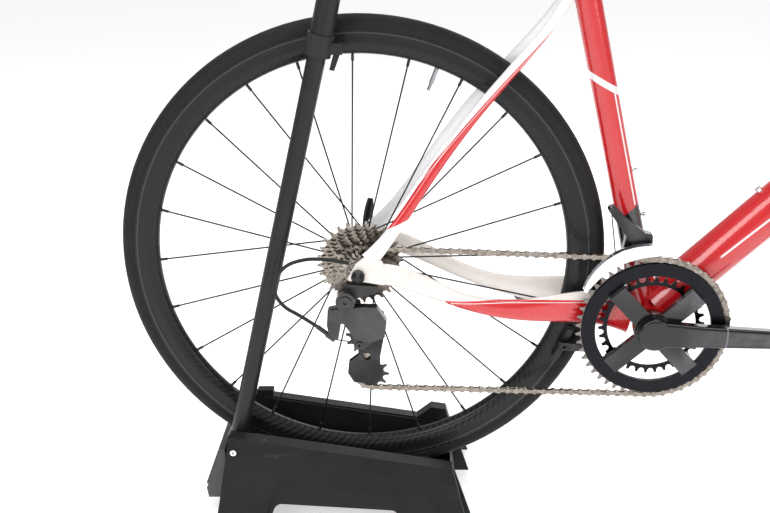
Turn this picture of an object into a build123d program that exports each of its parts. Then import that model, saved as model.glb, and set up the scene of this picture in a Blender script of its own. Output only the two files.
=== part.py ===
"""Road bicycle standing with its rear wheel in a moulded display stand.

Millimetres, +Z up, +X forward, +Y to the bicycle's left.  The origin is on the
floor, midway between the two axles, in the bicycle's middle plane.
The bicycle is drawn in its own frame, whose origin is the rear axle and whose
X axis runs through both axles, and is then set nose-down on the stand.
"""

import os
from math import asin, atan2, cos, degrees, pi, radians, sin, tan

from build123d import *

os.makedirs("parts", exist_ok=True)

# ---------------------------------------------------------------- driving sizes
tyre_radius = 335.0
wheelbase = 993.0
rear_lift = 50.0

bb_x, bb_z = 402.0, -70.0
seat_angle = 74.3
seat_tube_length = 500.0
head_top = Vector(787.0, 0, 505.0)
head_bottom = Vector(835.0, 0, 352.0)

pitch_link = 12.7
ring_teeth = 50
inner_ring_teeth = 34
cassette_teeth = (28, 25, 23, 21, 19, 17, 15, 14, 13, 12, 11)
driven_index = 6
pulley_teeth = 11
crank_length = 170.0

spoke_radius = 1.1
spoke_count = 24
spoke_phase = 3.4

rail_inner_y = 57.0
rail_outer_y = 76.0
mast_y = -40.0
mast_lean = 78.6
mast_extension = 571.0

# ---------------------------------------------------------------- derived places
nose_down = asin(rear_lift / wheelbase)
axle_x = -wheelbase * cos(nose_down) / 2
on_stand = Location((axle_x, 0, tyre_radius + rear_lift), (0, degrees(nose_down), 0))
stand_at = Location((axle_x, 0, 0))
front_axle = Vector(wheelbase, 0, 0)
bb = Vector(bb_x, 0, bb_z)
seat_dir = Vector(-cos(radians(seat_angle)), 0, sin(radians(seat_angle)))
seat_top = bb + seat_dir * seat_tube_length
steer_down = (head_bottom - head_top).normalized()
steer_forward = Vector(-steer_down.Z, 0, steer_down.X)
LOW = (Align.CENTER, Align.CENTER, Align.MIN)


# ---------------------------------------------------------------- helpers
def save(piece, label, place=on_stand):
    """Label a finished piece, set it in its place and write it as one node."""
    piece.part.label = label
    placed = piece.part.moved(place)
    placed.label = label
    export_step(placed, f"parts/{label}.step")


def save_group(pieces, label, place=on_stand):
    """Write several separate solids as one node."""
    solids = []
    for piece in pieces:
        shape = piece.part if isinstance(piece, BuildPart) else piece
        solids += [solid.moved(place) for solid in shape.solids()]
    group = Compound(solids, label=label)
    export_step(group, f"parts/{label}.step")


def between(start, end):
    """Location at start whose Z axis points to end."""
    return Plane(origin=start, z_dir=(end - start)).location


def rod(start, end, radius):
    """Add a round rod from start to end to the open part."""
    with Locations(between(start, end)):
        Cylinder(radius, (end - start).length, align=LOW)


def side_plane(y):
    """Plane seen from the drive side: X forward, Z up, normal towards -Y."""
    return Plane(origin=(0, y, 0), x_dir=(1, 0, 0), z_dir=(0, -1, 0))


def axial(point):
    """Location at point whose Z axis points to the drive side."""
    return Plane(origin=point, x_dir=(1, 0, 0), z_dir=(0, -1, 0)).location


def section(point, direction, width, depth):
    """Elliptical tube section: width across the bicycle, depth in its plane."""
    plane = Plane(origin=point, x_dir=(0, 1, 0), z_dir=direction)
    with BuildSketch(plane, mode=Mode.PRIVATE) as outline:
        Ellipse(width / 2, depth / 2)
    return outline.sketch


def tube(stations, wall=0.0, mode=Mode.ADD):
    """Loft a tube, or its bore, through (point, direction, width, depth) stations."""
    loft([section(p, d, width - 2 * wall, depth - 2 * wall) for p, d, width, depth in stations], mode=mode)


def sprocket(teeth, bore, y, thickness, phase=0.0):
    """Add one toothed disc, its outer face at y, with a tooth gap at phase."""
    pitch_radius = pitch_link / 2 / sin(pi / teeth)
    tip_radius = pitch_radius + 3.2
    seat_radius = pitch_radius - 3.95
    shoulder_radius = pitch_radius - 1.2
    half = pi / teeth
    shoulder = 3.86 / shoulder_radius
    tip = half - 1.3 / tip_radius
    with BuildSketch(side_plane(y)) as outline:
        with BuildLine():
            for k in range(teeth):
                mid = radians(phase) + 2 * k * half
                low = Vector(shoulder_radius * cos(mid - shoulder), shoulder_radius * sin(mid - shoulder))
                bottom = Vector(seat_radius * cos(mid), seat_radius * sin(mid))
                high = Vector(shoulder_radius * cos(mid + shoulder), shoulder_radius * sin(mid + shoulder))
                tip_a = Vector(tip_radius * cos(mid + tip), tip_radius * sin(mid + tip))
                after = mid + 2 * half
                tip_b = Vector(tip_radius * cos(after - tip), tip_radius * sin(after - tip))
                end = Vector(
                    shoulder_radius * cos(after - shoulder), shoulder_radius * sin(after - shoulder)
                )
                ThreePointArc(low, bottom, high)
                Polyline(high, tip_a, tip_b, end)
        make_face()
        if bore:
            Circle(bore, mode=Mode.SUBTRACT)
    extrude(outline.sketch, amount=-thickness)


# ---------------------------------------------------------------- wheels
def make_tyre(label, place):
    """Narrow road tyre: a hollow casing with its two beads inside the rim."""
    with BuildPart() as tyre:
        with BuildSketch(Plane.XY):
            with BuildLine():
                ThreePointArc((316.2, -12.2), (tyre_radius, 0), (316.2, 12.2))
                Polyline((316.2, 12.2), (316.2, 10.4), (311.3, 10.4), (311.3, 8.6), (317, 8.6))
                ThreePointArc((317, 8.6), (332.2, 0), (317, -8.6))
                Polyline((317, -8.6), (311.3, -8.6), (311.3, -10.4), (316.2, -10.4), (316.2, -12.2))
            make_face()
        revolve(axis=Axis.Y)
    save(tyre, label, place)


def make_rim(label, place):
    """Deep carbon rim: hollow box section with a rounded inner edge."""
    with BuildPart() as rim:
        with BuildSketch(Plane.XY):
            with BuildLine():
                Polyline((300, -12.8), (306, -12.4), (316, -12.4), (316, -10.6), (310, -10.6), (306.5, -4))
                Line((306.5, -4), (306.5, 4))
                Polyline((306.5, 4), (310, 10.6), (316, 10.6), (316, 12.4), (306, 12.4), (300, 12.8))
                ThreePointArc((300, 12.8), (294.5, 11.9), (290.5, 9.8))
                ThreePointArc((290.5, 9.8), (283.3, 0), (290.5, -9.8))
                ThreePointArc((290.5, -9.8), (294.5, -11.9), (300, -12.8))
            make_face()
            with BuildLine():
                Polyline((300, -10.8), (304.5, -10.4), (304.5, 10.4), (300, 10.8))
                ThreePointArc((300, 10.8), (285.6, 0), (300, -10.8))
            make_face(mode=Mode.SUBTRACT)
        revolve(axis=Axis.Y)
    save(rim, label, place)


def spoke_ends(number, radial_y, crossed_y, twist_y):
    """Hub end and rim end of one spoke: even ones cross, odd ones run radially."""
    angle = radians(spoke_phase + number * 360 / spoke_count)
    if number % 2:
        hub_radius, hub_angle, y = 20.8, angle, radial_y
    else:
        side = 1 if number % 4 == 2 else -1
        hub_radius, hub_angle, y = 18.3, angle + side * radians(60), crossed_y + side * twist_y
    hub_end = Vector(hub_radius * cos(hub_angle), y, hub_radius * sin(hub_angle))
    rim_end = Vector(283.0 * cos(angle), 0, 283.0 * sin(angle))
    return hub_end, rim_end


def make_spokes(label, place, radial_y, crossed_y):
    """Steel spokes, each ending in its nipple at the rim."""
    with BuildPart() as spokes:
        for number in range(spoke_count):
            hub_end, rim_end = spoke_ends(number, radial_y, crossed_y, 1.3)
            nipple = rim_end + (hub_end - rim_end).normalized() * 9
            rod(hub_end, nipple, spoke_radius)
            rod(nipple, rim_end, 2.0)
    save(spokes, label, place)


def make_hub(label, place, radial_y, crossed_y, ends):
    """Hub shell with a flange for each set of spokes and a bore for its axle."""
    near, far = ends
    toward = 1 if crossed_y > radial_y else -1
    face = radial_y - toward * 1.3
    with BuildPart() as hub:
        with BuildSketch(Plane.XY):
            with BuildLine():
                Polyline(
                    (5.6, near),
                    (9.5, near),
                    (9.5, face),
                    (20.5, face),
                    (20.5, face + toward * 2.6),
                    (12, face + toward * 6),
                    (10.5, (radial_y + crossed_y) / 2),
                    (12, crossed_y - toward * 6),
                    (17, crossed_y - toward * 1.4),
                    (17, crossed_y + toward * 1.4),
                    (13, crossed_y + toward * 2.4),
                    (13, far),
                    (5.6, far),
                    close=True,
                )
            make_face()
        revolve(axis=Axis.Y)
    save(hub, label, place)


def make_wheel(prefix, place, radial_y, crossed_y, hub_ends):
    """Write the tyre, rim, spokes and hub of one wheel."""
    make_tyre(prefix + "_tyre", place)
    make_rim(prefix + "_rim", place)
    make_spokes(prefix + "_spokes", place, radial_y, crossed_y)
    make_hub(prefix + "_hub", place, radial_y, crossed_y, hub_ends)


def skewer(half_width, nut_radius):
    """Add a hollow axle with a quick-release nut at its drive-side end."""
    with Locations(axial((0, half_width, 0))):
        Cylinder(5.5, 2 * half_width, align=LOW)
    with Locations(axial((0, -half_width - 6.8, 0))):
        Cylinder(nut_radius, 7, align=LOW)
        with Locations((0, 0, 7)):
            Cone(nut_radius, 4, 6, align=LOW)
    with Locations(axial((0, half_width + 14, 0))):
        Cylinder(2.5, 2 * half_width + 21, align=LOW)
    with Locations(axial((0, half_width + 17, 0))):
        Cylinder(8.5, 10.2, align=LOW)


def make_lever(label, place, half_width, tip):
    """Flat quick-release lever whose cam barrel turns against the skewer's end."""
    cam = Vector(0, half_width + 22.6, 0)
    across = tip.cross(Vector(0, 1, 0)).normalized()
    with BuildPart() as lever:
        rod(cam - across * 7, cam + across * 7, 5)
        stations = ((0.05, 1.5, 10, 4.5), (0.55, 4, 14, 4.5), (1.0, 3, 8, 3.4))
        blade = []
        for share, lift, width, depth in stations:
            middle = cam + tip * share + Vector(0, lift, 0)
            plane = Plane(origin=middle, x_dir=across, z_dir=tip.normalized())
            with BuildSketch(plane, mode=Mode.PRIVATE) as outline:
                Ellipse(width / 2, depth / 2)
            blade.append(outline.sketch)
        loft(blade)
    save(lever, label, place)


rear_radial_y, rear_crossed_y = -17.0, 36.0
make_wheel("rear", on_stand, rear_radial_y, rear_crossed_y, (-20.0, 64.7))
at_front = on_stand * Location(front_axle)
make_wheel("front", at_front, 34.0, -34.0, (49.7, -49.7))

with BuildPart() as rear_valve:
    valve_angle = radians(70.7)
    valve_dir = Vector(cos(valve_angle), 0, sin(valve_angle))
    rod(valve_dir * 283.0, valve_dir * 262, 3.0)
    rod(valve_dir * 262, valve_dir * 252, 2.2)
save(rear_valve, "rear_valve")

with BuildPart() as rear_axle:
    skewer(65.0, 9)
save(rear_axle, "rear_axle")
make_lever("rear_quick_release_lever", on_stand, 65.0, Vector(6, 0, 56))

with BuildPart() as front_axle_part:
    skewer(50.0, 9)
save(front_axle_part, "front_axle", at_front)
make_lever("front_quick_release_lever", at_front, 50.0, Vector(-30, 0, 48))


# ---------------------------------------------------------------- chain line
chain_y = -46.2
sprocket_step = 3.9
guide_centre = Vector(8, 0, -101.5)
cage_length = 56.0


def pitch_radius(teeth):
    """Radius of the circle through the roller centres on a toothed wheel."""
    return pitch_link / 2 / sin(pi / teeth)


def chain_path(cage_angle):
    """Straight runs and wraps of the chain, each as long as its pitches say."""
    hang = Vector(cos(radians(cage_angle)), 0, sin(radians(cage_angle)))
    wheels = [
        (bb, ring_teeth, 1),
        (guide_centre + hang * cage_length, pulley_teeth, 1),
        (guide_centre, pulley_teeth, -1),
        (Vector(0, 0, 0), cassette_teeth[driven_index], 1),
    ]
    headings = []
    for k, (centre, teeth, turn) in enumerate(wheels):
        after, after_teeth, after_turn = wheels[(k + 1) % 4]
        gap = after - centre
        step = turn * pitch_radius(teeth) - after_turn * pitch_radius(after_teeth)
        headings.append(atan2(gap.Z, gap.X) - asin(step / gap.length))
    pieces = []
    for k, (centre, teeth, turn) in enumerate(wheels):
        arrive, leave = headings[k - 1], headings[k]
        angle = (turn * (arrive - leave)) % (2 * pi)
        pieces.append(("wrap", centre, teeth, turn, arrive, angle / 2 / pi * teeth * pitch_link))
        after, after_teeth, after_turn = wheels[(k + 1) % 4]
        start = centre + side_of(leave) * turn * pitch_radius(teeth)
        end = after + side_of(leave) * after_turn * pitch_radius(after_teeth)
        pieces.append(("run", start, 0, 0, leave, (end - start).length))
    return pieces


def side_of(heading):
    """Unit vector to the left of a heading in the bicycle's plane."""
    return Vector(-sin(heading), 0, cos(heading))


def path_length(cage_angle):
    """Whole length of the chain, counted along its pitches."""
    return sum(piece[5] for piece in chain_path(cage_angle))


def settled_cage():
    """Cage angle at which the chain closes with a whole, even number of links."""
    low, high = -100.0, -70.0
    links = 2 * round(path_length(-83.0) / pitch_link / 2)
    for _ in range(40):
        middle = (low + high) / 2
        if path_length(middle) > links * pitch_link:
            low = middle
        else:
            high = middle
    return middle, links


cage_angle, link_count = settled_cage()
cage_dir = Vector(cos(radians(cage_angle)), 0, sin(radians(cage_angle)))
tension_centre = guide_centre + cage_dir * cage_length


def roller_places():
    """Roller centres round the loop, and the angle of each wheel's first roller."""
    centres, phases = [], []
    travelled, position = 0.0, 0.0
    for kind, point, teeth, turn, heading, length in chain_path(cage_angle):
        first = True
        while len(centres) < link_count and position < travelled + length - 1e-6:
            along = position - travelled
            if kind == "run":
                centres.append(point + Vector(cos(heading), 0, sin(heading)) * along)
            else:
                turned = heading - turn * along / (teeth * pitch_link) * 2 * pi
                outward = side_of(turned) * turn
                centres.append(point + outward * pitch_radius(teeth))
                if first:
                    phases.append(degrees(atan2(outward.Z, outward.X)))
            first = False
            position += pitch_link
        travelled += length
    return centres, phases


rollers, phases = roller_places()
ring_phase, tension_phase, guide_phase, sprocket_phase = phases


def plate_pair(inner_face, thickness):
    """Add two figure-of-eight side plates, one on each side of the middle."""
    for side in (1, -1):
        near = side * inner_face if side > 0 else -inner_face - thickness
        with BuildSketch(Plane.XY.offset(near)) as plate:
            with Locations((0, 0), (pitch_link, 0)):
                Circle(4.1)
            with Locations((pitch_link / 2, 0)):
                Rectangle(pitch_link, 5.2)
        extrude(plate.sketch, amount=thickness)


def link_place(start, end):
    """Location of a link: X along the link, Z towards the drive side."""
    middle = Vector(0, chain_y, 0)
    return Plane(origin=start + middle, x_dir=end - start, z_dir=(0, -1, 0)).location


with BuildPart() as outer_link:
    plate_pair(1.98, 0.85)
    with Locations((0, 0, -2.9), (pitch_link, 0, -2.9)):
        Cylinder(1.75, 5.8, align=LOW)

with BuildPart() as inner_link:
    plate_pair(1.1, 0.85)
    with Locations((0, 0, -1.15), (pitch_link, 0, -1.15)):
        Cylinder(3.85, 2.3, align=LOW)
        Cylinder(1.85, 2.3, align=LOW, mode=Mode.SUBTRACT)
    with Locations((0, 0, -3), (pitch_link, 0, -3)):
        Cylinder(1.85, 6, align=LOW, mode=Mode.SUBTRACT)

chain = Compound(
    label="chain",
    children=[
        (outer_link if number % 2 else inner_link).part.moved(
            on_stand * link_place(centre, rollers[(number + 1) % link_count])
        )
        for number, centre in enumerate(rollers)
    ],
)
export_step(chain, "parts/chain.step")


# ---------------------------------------------------------------- cassette and cranks
def sprocket_y(index):
    """Outer face of a sprocket, counted from the largest."""
    return chain_y - (index - driven_index) * sprocket_step - 0.8


with BuildPart() as cassette:
    for index, teeth in enumerate(cassette_teeth):
        phase = sprocket_phase if index == driven_index else index * 7.0
        sprocket(teeth, 17.4, sprocket_y(index), 1.6, phase)
    with Locations(axial((0, sprocket_y(0) + 1.6, 0))):
        with PolarLocations(38.0, 7):
            Cylinder(5.2, 3.2, align=LOW, mode=Mode.SUBTRACT)
    with Locations(axial((0, sprocket_y(1) + 1.6, 0))):
        with PolarLocations(32.5, 6, start_angle=20):
            Cylinder(4.2, 2.2, align=LOW, mode=Mode.SUBTRACT)
save(cassette, "cassette_sprockets")

with BuildPart() as freehub:
    with Locations(axial((0, sprocket_y(0) + 1.6, 0))):
        Cylinder(17.35, sprocket_y(0) + 1.6 - sprocket_y(10) + 0.2, align=LOW)
    for index in range(len(cassette_teeth) - 1):
        with Locations(axial((0, sprocket_y(index), 0))):
            Cylinder(19.4, sprocket_step - 1.6, align=LOW)
    with Locations(axial((0, 0, 0))):
        Cylinder(5.56, 80, align=LOW, mode=Mode.SUBTRACT)

with BuildPart() as lockring:
    with Locations(axial((0, sprocket_y(10) - 0.3, 0))):
        Cylinder(16.5, 1.9, align=LOW)
        with PolarLocations(12.6, 12):
            Cylinder(1.5, 4, align=LOW, mode=Mode.SUBTRACT)
        Cylinder(5.56, 4, align=LOW, mode=Mode.SUBTRACT)
save_group([freehub, lockring], "freehub_and_lockring")

ring_outer_face = chain_y - 1.0
inner_ring_y = chain_y + 7.6


at_bb = on_stand * Location(bb)
spider_face = ring_outer_face - 3.4

with BuildPart() as outer_ring:
    sprocket(ring_teeth, 78, ring_outer_face, 2.0, ring_phase)
    with BuildSketch(side_plane(ring_outer_face)) as cover:
        Circle(96.0)
        Circle(78, mode=Mode.SUBTRACT)
    extrude(cover.sketch, amount=3.2)
    with BuildSketch(side_plane(ring_outer_face)) as tabs:
        with PolarLocations(73, 4, start_angle=45):
            Rectangle(20, 24)
    extrude(tabs.sketch, amount=2.2)
    with Locations(axial((0, ring_outer_face + 1, 0))):
        with PolarLocations(70, 4, start_angle=45):
            Cylinder(4.2, 8, align=LOW, mode=Mode.SUBTRACT)
save(outer_ring, "outer_chainring", at_bb)

with BuildPart() as inner_ring:
    sprocket(inner_ring_teeth, 60, inner_ring_y, 2.0)
    with BuildSketch(side_plane(inner_ring_y)) as tabs:
        with PolarLocations(66, 4, start_angle=45):
            Rectangle(18, 16)
    extrude(tabs.sketch, amount=-2.0)
    with Locations(axial((0, inner_ring_y, 0))):
        with PolarLocations(70, 4, start_angle=45):
            Cylinder(4.2, 8, align=(Align.CENTER, Align.CENTER, Align.CENTER), mode=Mode.SUBTRACT)
save(inner_ring, "inner_chainring", at_bb)


def crank_outline(way, root, waist):
    """Tapering outline of a crank arm that runs forward or back from its axle."""
    upper = [(0, root), (way * 60, waist), (way * crank_length, 12.5)]
    return upper + [(x, -z) for x, z in reversed(upper)]


with BuildPart() as right_crank:
    with BuildSketch(side_plane(spider_face)) as spider:
        Circle(27)
        with PolarLocations(46, 4, start_angle=45):
            Rectangle(62, 25)
    extrude(spider.sketch, amount=9)
    with BuildSketch(side_plane(spider_face - 4)) as boss:
        Circle(25)
    extrude(boss.sketch, amount=10)
    with BuildSketch(side_plane(spider_face - 9)) as arm:
        with BuildLine():
            Polyline(crank_outline(1, 19, 15.5), close=True)
        make_face()
        Circle(23)
        with Locations((crank_length, 0)):
            Circle(13)
    extrude(arm.sketch, amount=13)
    fillet(right_crank.faces().sort_by(Axis.Y)[0].edges(), 4)
    with Locations(axial((crank_length, 0, 0))):
        Cylinder(6.6, 100, align=LOW, mode=Mode.SUBTRACT)
    with Locations(axial((0, 59, 0))):
        Cylinder(11.98, 59 - spider_face, align=LOW)
save(right_crank, "right_crank_and_axle", at_bb)

with BuildPart() as ring_bolts:
    with Locations(axial((0, inner_ring_y + 2.2, 0))):
        with PolarLocations(70, 4, start_angle=45):
            Cylinder(4.1, inner_ring_y + 2.2 - spider_face, align=LOW)
save(ring_bolts, "chainring_bolts", at_bb)

with BuildPart() as left_crank:
    with BuildSketch(side_plane(73)) as arm:
        with BuildLine():
            Polyline(crank_outline(-1, 18, 15), close=True)
        make_face()
        Circle(20)
        with Locations((-crank_length, 0)):
            Circle(13)
    extrude(arm.sketch, amount=13.5)
    fillet(left_crank.faces().sort_by(Axis.Y)[-1].edges(), 4)
    with BuildSketch(side_plane(60)) as clamp:
        Circle(20)
    extrude(clamp.sketch, amount=15.5)
    with Locations(axial((0, 69, 0))):
        Cylinder(12.0, 60, align=LOW, mode=Mode.SUBTRACT)
    with Locations(axial((-crank_length, 100, 0))):
        Cylinder(6.6, 100, align=LOW, mode=Mode.SUBTRACT)
save(left_crank, "left_crank", at_bb)

with BuildPart() as bb_cups:
    for side in (1, -1):
        with Locations(axial((0, side * 38.7, 0))):
            Cylinder(21, 9.2, align=(Align.CENTER, Align.CENTER, Align.CENTER))
            Cylinder(12.05, 20, align=(Align.CENTER, Align.CENTER, Align.CENTER), mode=Mode.SUBTRACT)

# ---------------------------------------------------------------- frame
def along_seat(distance, y=0.0):
    """Point on the seat tube, measured from the bottom bracket."""
    return bb + seat_dir * distance + Vector(0, y, 0)


down_start = Vector(424, 0, -42)
down_end = Vector(812, 0, 372)
top_start = along_seat(470)
top_end = Vector(795, 0, 470)

down_dir = (down_end - down_start).normalized()
down_up = Vector(-down_dir.Z, 0, down_dir.X)
seat_front = Vector(seat_dir.Z, 0, -seat_dir.X)


def along_down(distance):
    """Point on the down tube's centre line."""
    return down_start + down_dir * distance


top_dir = (top_end - top_start).normalized()
seat_stations = [
    (along_seat(8), seat_dir, 44, 42),
    (along_seat(120), seat_dir, 31, 35),
    (along_seat(300), seat_dir, 29, 33),
    (along_seat(seat_tube_length), seat_dir, 33, 34),
]
down_stations = [
    (down_start - down_dir * 14, down_dir, 62, 58),
    (down_start + down_dir * 90, down_dir, 54, 60),
    (down_start + down_dir * 330, down_dir, 48, 60),
    (down_end + down_dir * 6, down_dir, 42, 54),
]
top_stations = [
    (top_start, top_dir, 30, 30),
    (top_start + top_dir * 260, top_dir, 36, 38),
    (top_end, top_dir, 38, 46),
]
head_stations = [
    (head_bottom, -steer_down, 58, 58),
    (head_bottom - steer_down * 40, -steer_down, 50, 50),
    (head_top, -steer_down, 46, 46),
]
frame_wall = 2.5

with BuildPart() as main_frame:
    for stations in (seat_stations, down_stations, top_stations, head_stations):
        tube(stations)
    for stations in (down_stations, top_stations, seat_stations[:3]):
        tube(stations, frame_wall, Mode.SUBTRACT)
    tube(head_stations)
    with Locations(axial(bb + Vector(0, 34, 0))):
        Cylinder(25, 68, align=LOW)
    with Locations(between(along_seat(seat_tube_length - 160), along_seat(seat_tube_length))):
        Cylinder(13.65, 170, align=LOW, mode=Mode.SUBTRACT)
    with Locations(between(head_bottom + steer_down * 2, head_top)):
        Cylinder(21.0, 170, align=LOW, mode=Mode.SUBTRACT)
    with Locations(axial(bb + Vector(0, 50, 0))):
        Cylinder(21.1, 100, align=LOW, mode=Mode.SUBTRACT)
    with Locations(between(head_bottom, head_bottom + steer_down)):
        Cylinder(60, 40, align=LOW, mode=Mode.SUBTRACT)
    for distance in (150, 214):
        with Locations(between(along_seat(distance), along_seat(distance) + seat_front)):
            Cylinder(2.55, 40, align=LOW, mode=Mode.SUBTRACT)
    for distance in (190, 254):
        with Locations(between(along_down(distance), along_down(distance) + down_up)):
            Cylinder(2.55, 60, align=LOW, mode=Mode.SUBTRACT)
save(main_frame, "main_frame")


def stay(points, side):
    """Add one lofted stay through (x, y, z, width, depth) stations."""
    places = [Vector(x, side * y, z) for x, y, z, _, _ in points]
    stations = []
    for k, (_, _, _, width, depth) in enumerate(points):
        ahead = places[min(k + 1, len(points) - 1)]
        behind = places[max(k - 1, 0)]
        stations.append((places[k], ahead - behind, width, depth))
    tube(stations)


seat_stay_line = (
    (14, 68.5, 22, 7, 24),
    (43, 62, 59, 9, 17),
    (159, 37, 236, 11, 15),
    (236, 22, 335, 12, 14),
    (258, 14, 372, 12, 16),
)
chain_stay_line = (
    (22, 68.5, 3, 7, 30),
    (55, 65, -2, 10, 30),
    (120, 58, -28, 14, 24),
    (262, 34, -52, 16, 40),
    (374, 22, -67, 16, 44),
)

with BuildPart() as seat_stays:
    for side in (1, -1):
        stay(seat_stay_line, side)
    tube(
        [
            (Vector(240, 0, 372), seat_dir, 26, 14),
            (Vector(247, 0, 390), seat_dir, 44, 20),
            (Vector(244, 0, 402), seat_dir, 30, 14),
        ]
    )
    add(main_frame.part, mode=Mode.SUBTRACT)
save(seat_stays, "seat_stays")

with BuildPart() as chain_stays:
    for side in (1, -1):
        stay(chain_stay_line, side)
        with BuildSketch(side_plane(side * 68.2)) as dropout:
            with BuildLine():
                Polyline((-16, -8), (-4, 16), (12, 30), (32, 20), (38, 4), (36, -12), (0, -8), close=True)
            make_face()
            fillet(dropout.vertices(), 3)
            Circle(5.56, mode=Mode.SUBTRACT)
            with Locations((0, -8)):
                Rectangle(11.12, 16, mode=Mode.SUBTRACT)
        extrude(dropout.sketch, amount=3.1, both=True)
    add(main_frame.part, mode=Mode.SUBTRACT)
    add(seat_stays.part, mode=Mode.SUBTRACT)
save(chain_stays, "chain_stays")


with BuildPart() as bottle_bolts:
    for distance in (150, 214):
        rod(along_seat(distance) + seat_front * 15, along_seat(distance) + seat_front * 20, 2.5)
        rod(along_seat(distance) + seat_front * 18.4, along_seat(distance) + seat_front * 23, 4.3)
    for distance in (190, 254):
        rod(along_down(distance) + down_up * 27, along_down(distance) + down_up * 32, 2.5)
        rod(along_down(distance) + down_up * 30.6, along_down(distance) + down_up * 35.2, 4.3)

# ---------------------------------------------------------------- seatpost and saddle
saddle_z = 633.0
post_top = along_seat(667)

with BuildPart() as seat_clamp:
    with Locations(between(along_seat(seat_tube_length - 1), along_seat(seat_tube_length + 20))):
        with Locations((0, 0, 1.3)):
            Cylinder(19, 14, align=LOW)
            Cylinder(13.7, 20, align=LOW, mode=Mode.SUBTRACT)
    with Locations(axial(along_seat(seat_tube_length + 7) - seat_front * 17 + Vector(0, 9, 0))):
        Cylinder(4.5, 18, align=LOW)
    with Locations(between(along_seat(seat_tube_length - 1), along_seat(seat_tube_length + 20))):
        Cylinder(13.7, 30, align=LOW, mode=Mode.SUBTRACT)
save(seat_clamp, "seat_clamp")

saddle_stations = (
    (78, 118, 24, -6),
    (110, 140, 30, -3),
    (165, 120, 30, -2),
    (225, 72, 28, -2),
    (290, 42, 26, -3),
    (338, 32, 20, -8),
)


def saddle_section(x, width, depth, drop):
    """Domed cross-section of the saddle."""
    plane = Plane(origin=(x, 0, saddle_z + drop), x_dir=(0, 1, 0), z_dir=(1, 0, 0))
    with BuildSketch(plane, mode=Mode.PRIVATE) as outline:
        with BuildLine():
            shoulder = (width / 2.3, -depth * 0.35)
            Spline((-width / 2, -depth), (-shoulder[0], shoulder[1]), (0, 0), shoulder, (width / 2, -depth))
            Line((width / 2, -depth), (width / 2 - 5, -depth - 4))
            Line((width / 2 - 5, -depth - 4), (-width / 2 + 5, -depth - 4))
            Line((-width / 2 + 5, -depth - 4), (-width / 2, -depth))
        make_face()
    return outline.sketch


with BuildPart() as saddle_cover:
    loft([saddle_section(x, width, depth, drop) for x, width, depth, drop in saddle_stations])
    base = Plane(origin=(0, 0, saddle_z - 22), x_dir=(1, 0, 0), z_dir=(0, 0, 1))
    split(bisect_by=base, keep=Keep.TOP)
save(saddle_cover, "saddle_cover")

with BuildPart() as saddle_shell:
    with BuildSketch(Plane.XY.offset(saddle_z - 25)) as outline:
        with BuildLine():
            half = [(84, 40), (110, 60), (165, 50), (225, 27), (290, 15), (330, 9)]
            Spline(*half)
            Line(half[-1], (330, -9))
            Spline(*[(x, -y) for x, y in reversed(half)])
            Line((84, -40), (84, 40))
        make_face()
    extrude(outline.sketch, amount=2.9)
save(saddle_shell, "saddle_shell")

rail_z = post_top.Z + 17
with BuildPart() as saddle_rails:
    for side in (1, -1):
        with BuildLine() as rail_line:
            FilletPolyline(
                (102, side * 44, saddle_z - 28.6),
                (128, side * 30, rail_z),
                (262, side * 22, rail_z),
                (318, side * 8, saddle_z - 28.6),
                radius=16,
            )
        with BuildSketch(Plane(origin=rail_line.line @ 0, z_dir=rail_line.line % 0)) as round_bar:
            Circle(3.5)
        sweep(round_bar.sketch, path=rail_line.line)
    with Locations((102, 0, saddle_z - 28.4)):
        Box(14, 96, 6.6)
    with Locations((318, 0, saddle_z - 28.4)):
        Box(14, 24, 6.6)
save(saddle_rails, "saddle_rails")

with BuildPart() as seatpost:
    rod(along_seat(360), post_top, 13.6)
    with Locations(Location(post_top + Vector(0, 0, 4))):
        Box(46, 34, 12)
    with Locations(Location(post_top + Vector(0, 0, 15))):
        Box(40, 54, 12)
    with Locations(axial(post_top + Vector(0, 29, 17))):
        Cylinder(3, 58, align=LOW)
    add(saddle_rails.part, mode=Mode.SUBTRACT)
save(seatpost, "seatpost")


# ---------------------------------------------------------------- derailleurs
def plate(points, y, thickness, radius=0.0):
    """Add a flat plate: an outline in the bicycle's plane, from y towards the drive side."""
    with BuildSketch(side_plane(y)) as outline:
        with BuildLine():
            Polyline(*points, close=True)
        make_face()
        if radius:
            fillet(outline.vertices(), radius)
    extrude(outline.sketch, amount=thickness)


hanger_y = -65.2
knuckle = Vector(-16, 0, -33.5)
with BuildPart() as hanger:
    plate([(-16, -13), (30, -15), (24, -25), (0, -32), (-6, -44), (-26, -44), (-27, -26)], hanger_y, 6.5, 3)
    add(chain_stays.part, mode=Mode.SUBTRACT)
save(hanger, "derailleur_hanger")

cage_knuckle = Vector(25, 0, -74)
cable_clamp = Vector(4, 0, -98)
link_outline = [
    (-38, -66),
    (-36, -48),
    (-18, -46),
    (8, -42),
    (26, -42),
    (40, -62),
    (38, -86),
    (22, -93),
    (10, -105),
    (-3, -105),
    (-5, -86),
    (-18, -68),
]
cable_arm_outline = [(-40, -48), (-26, -44), (-21, -62), (-25, -92), (-36, -96), (-41, -72)]

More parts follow.
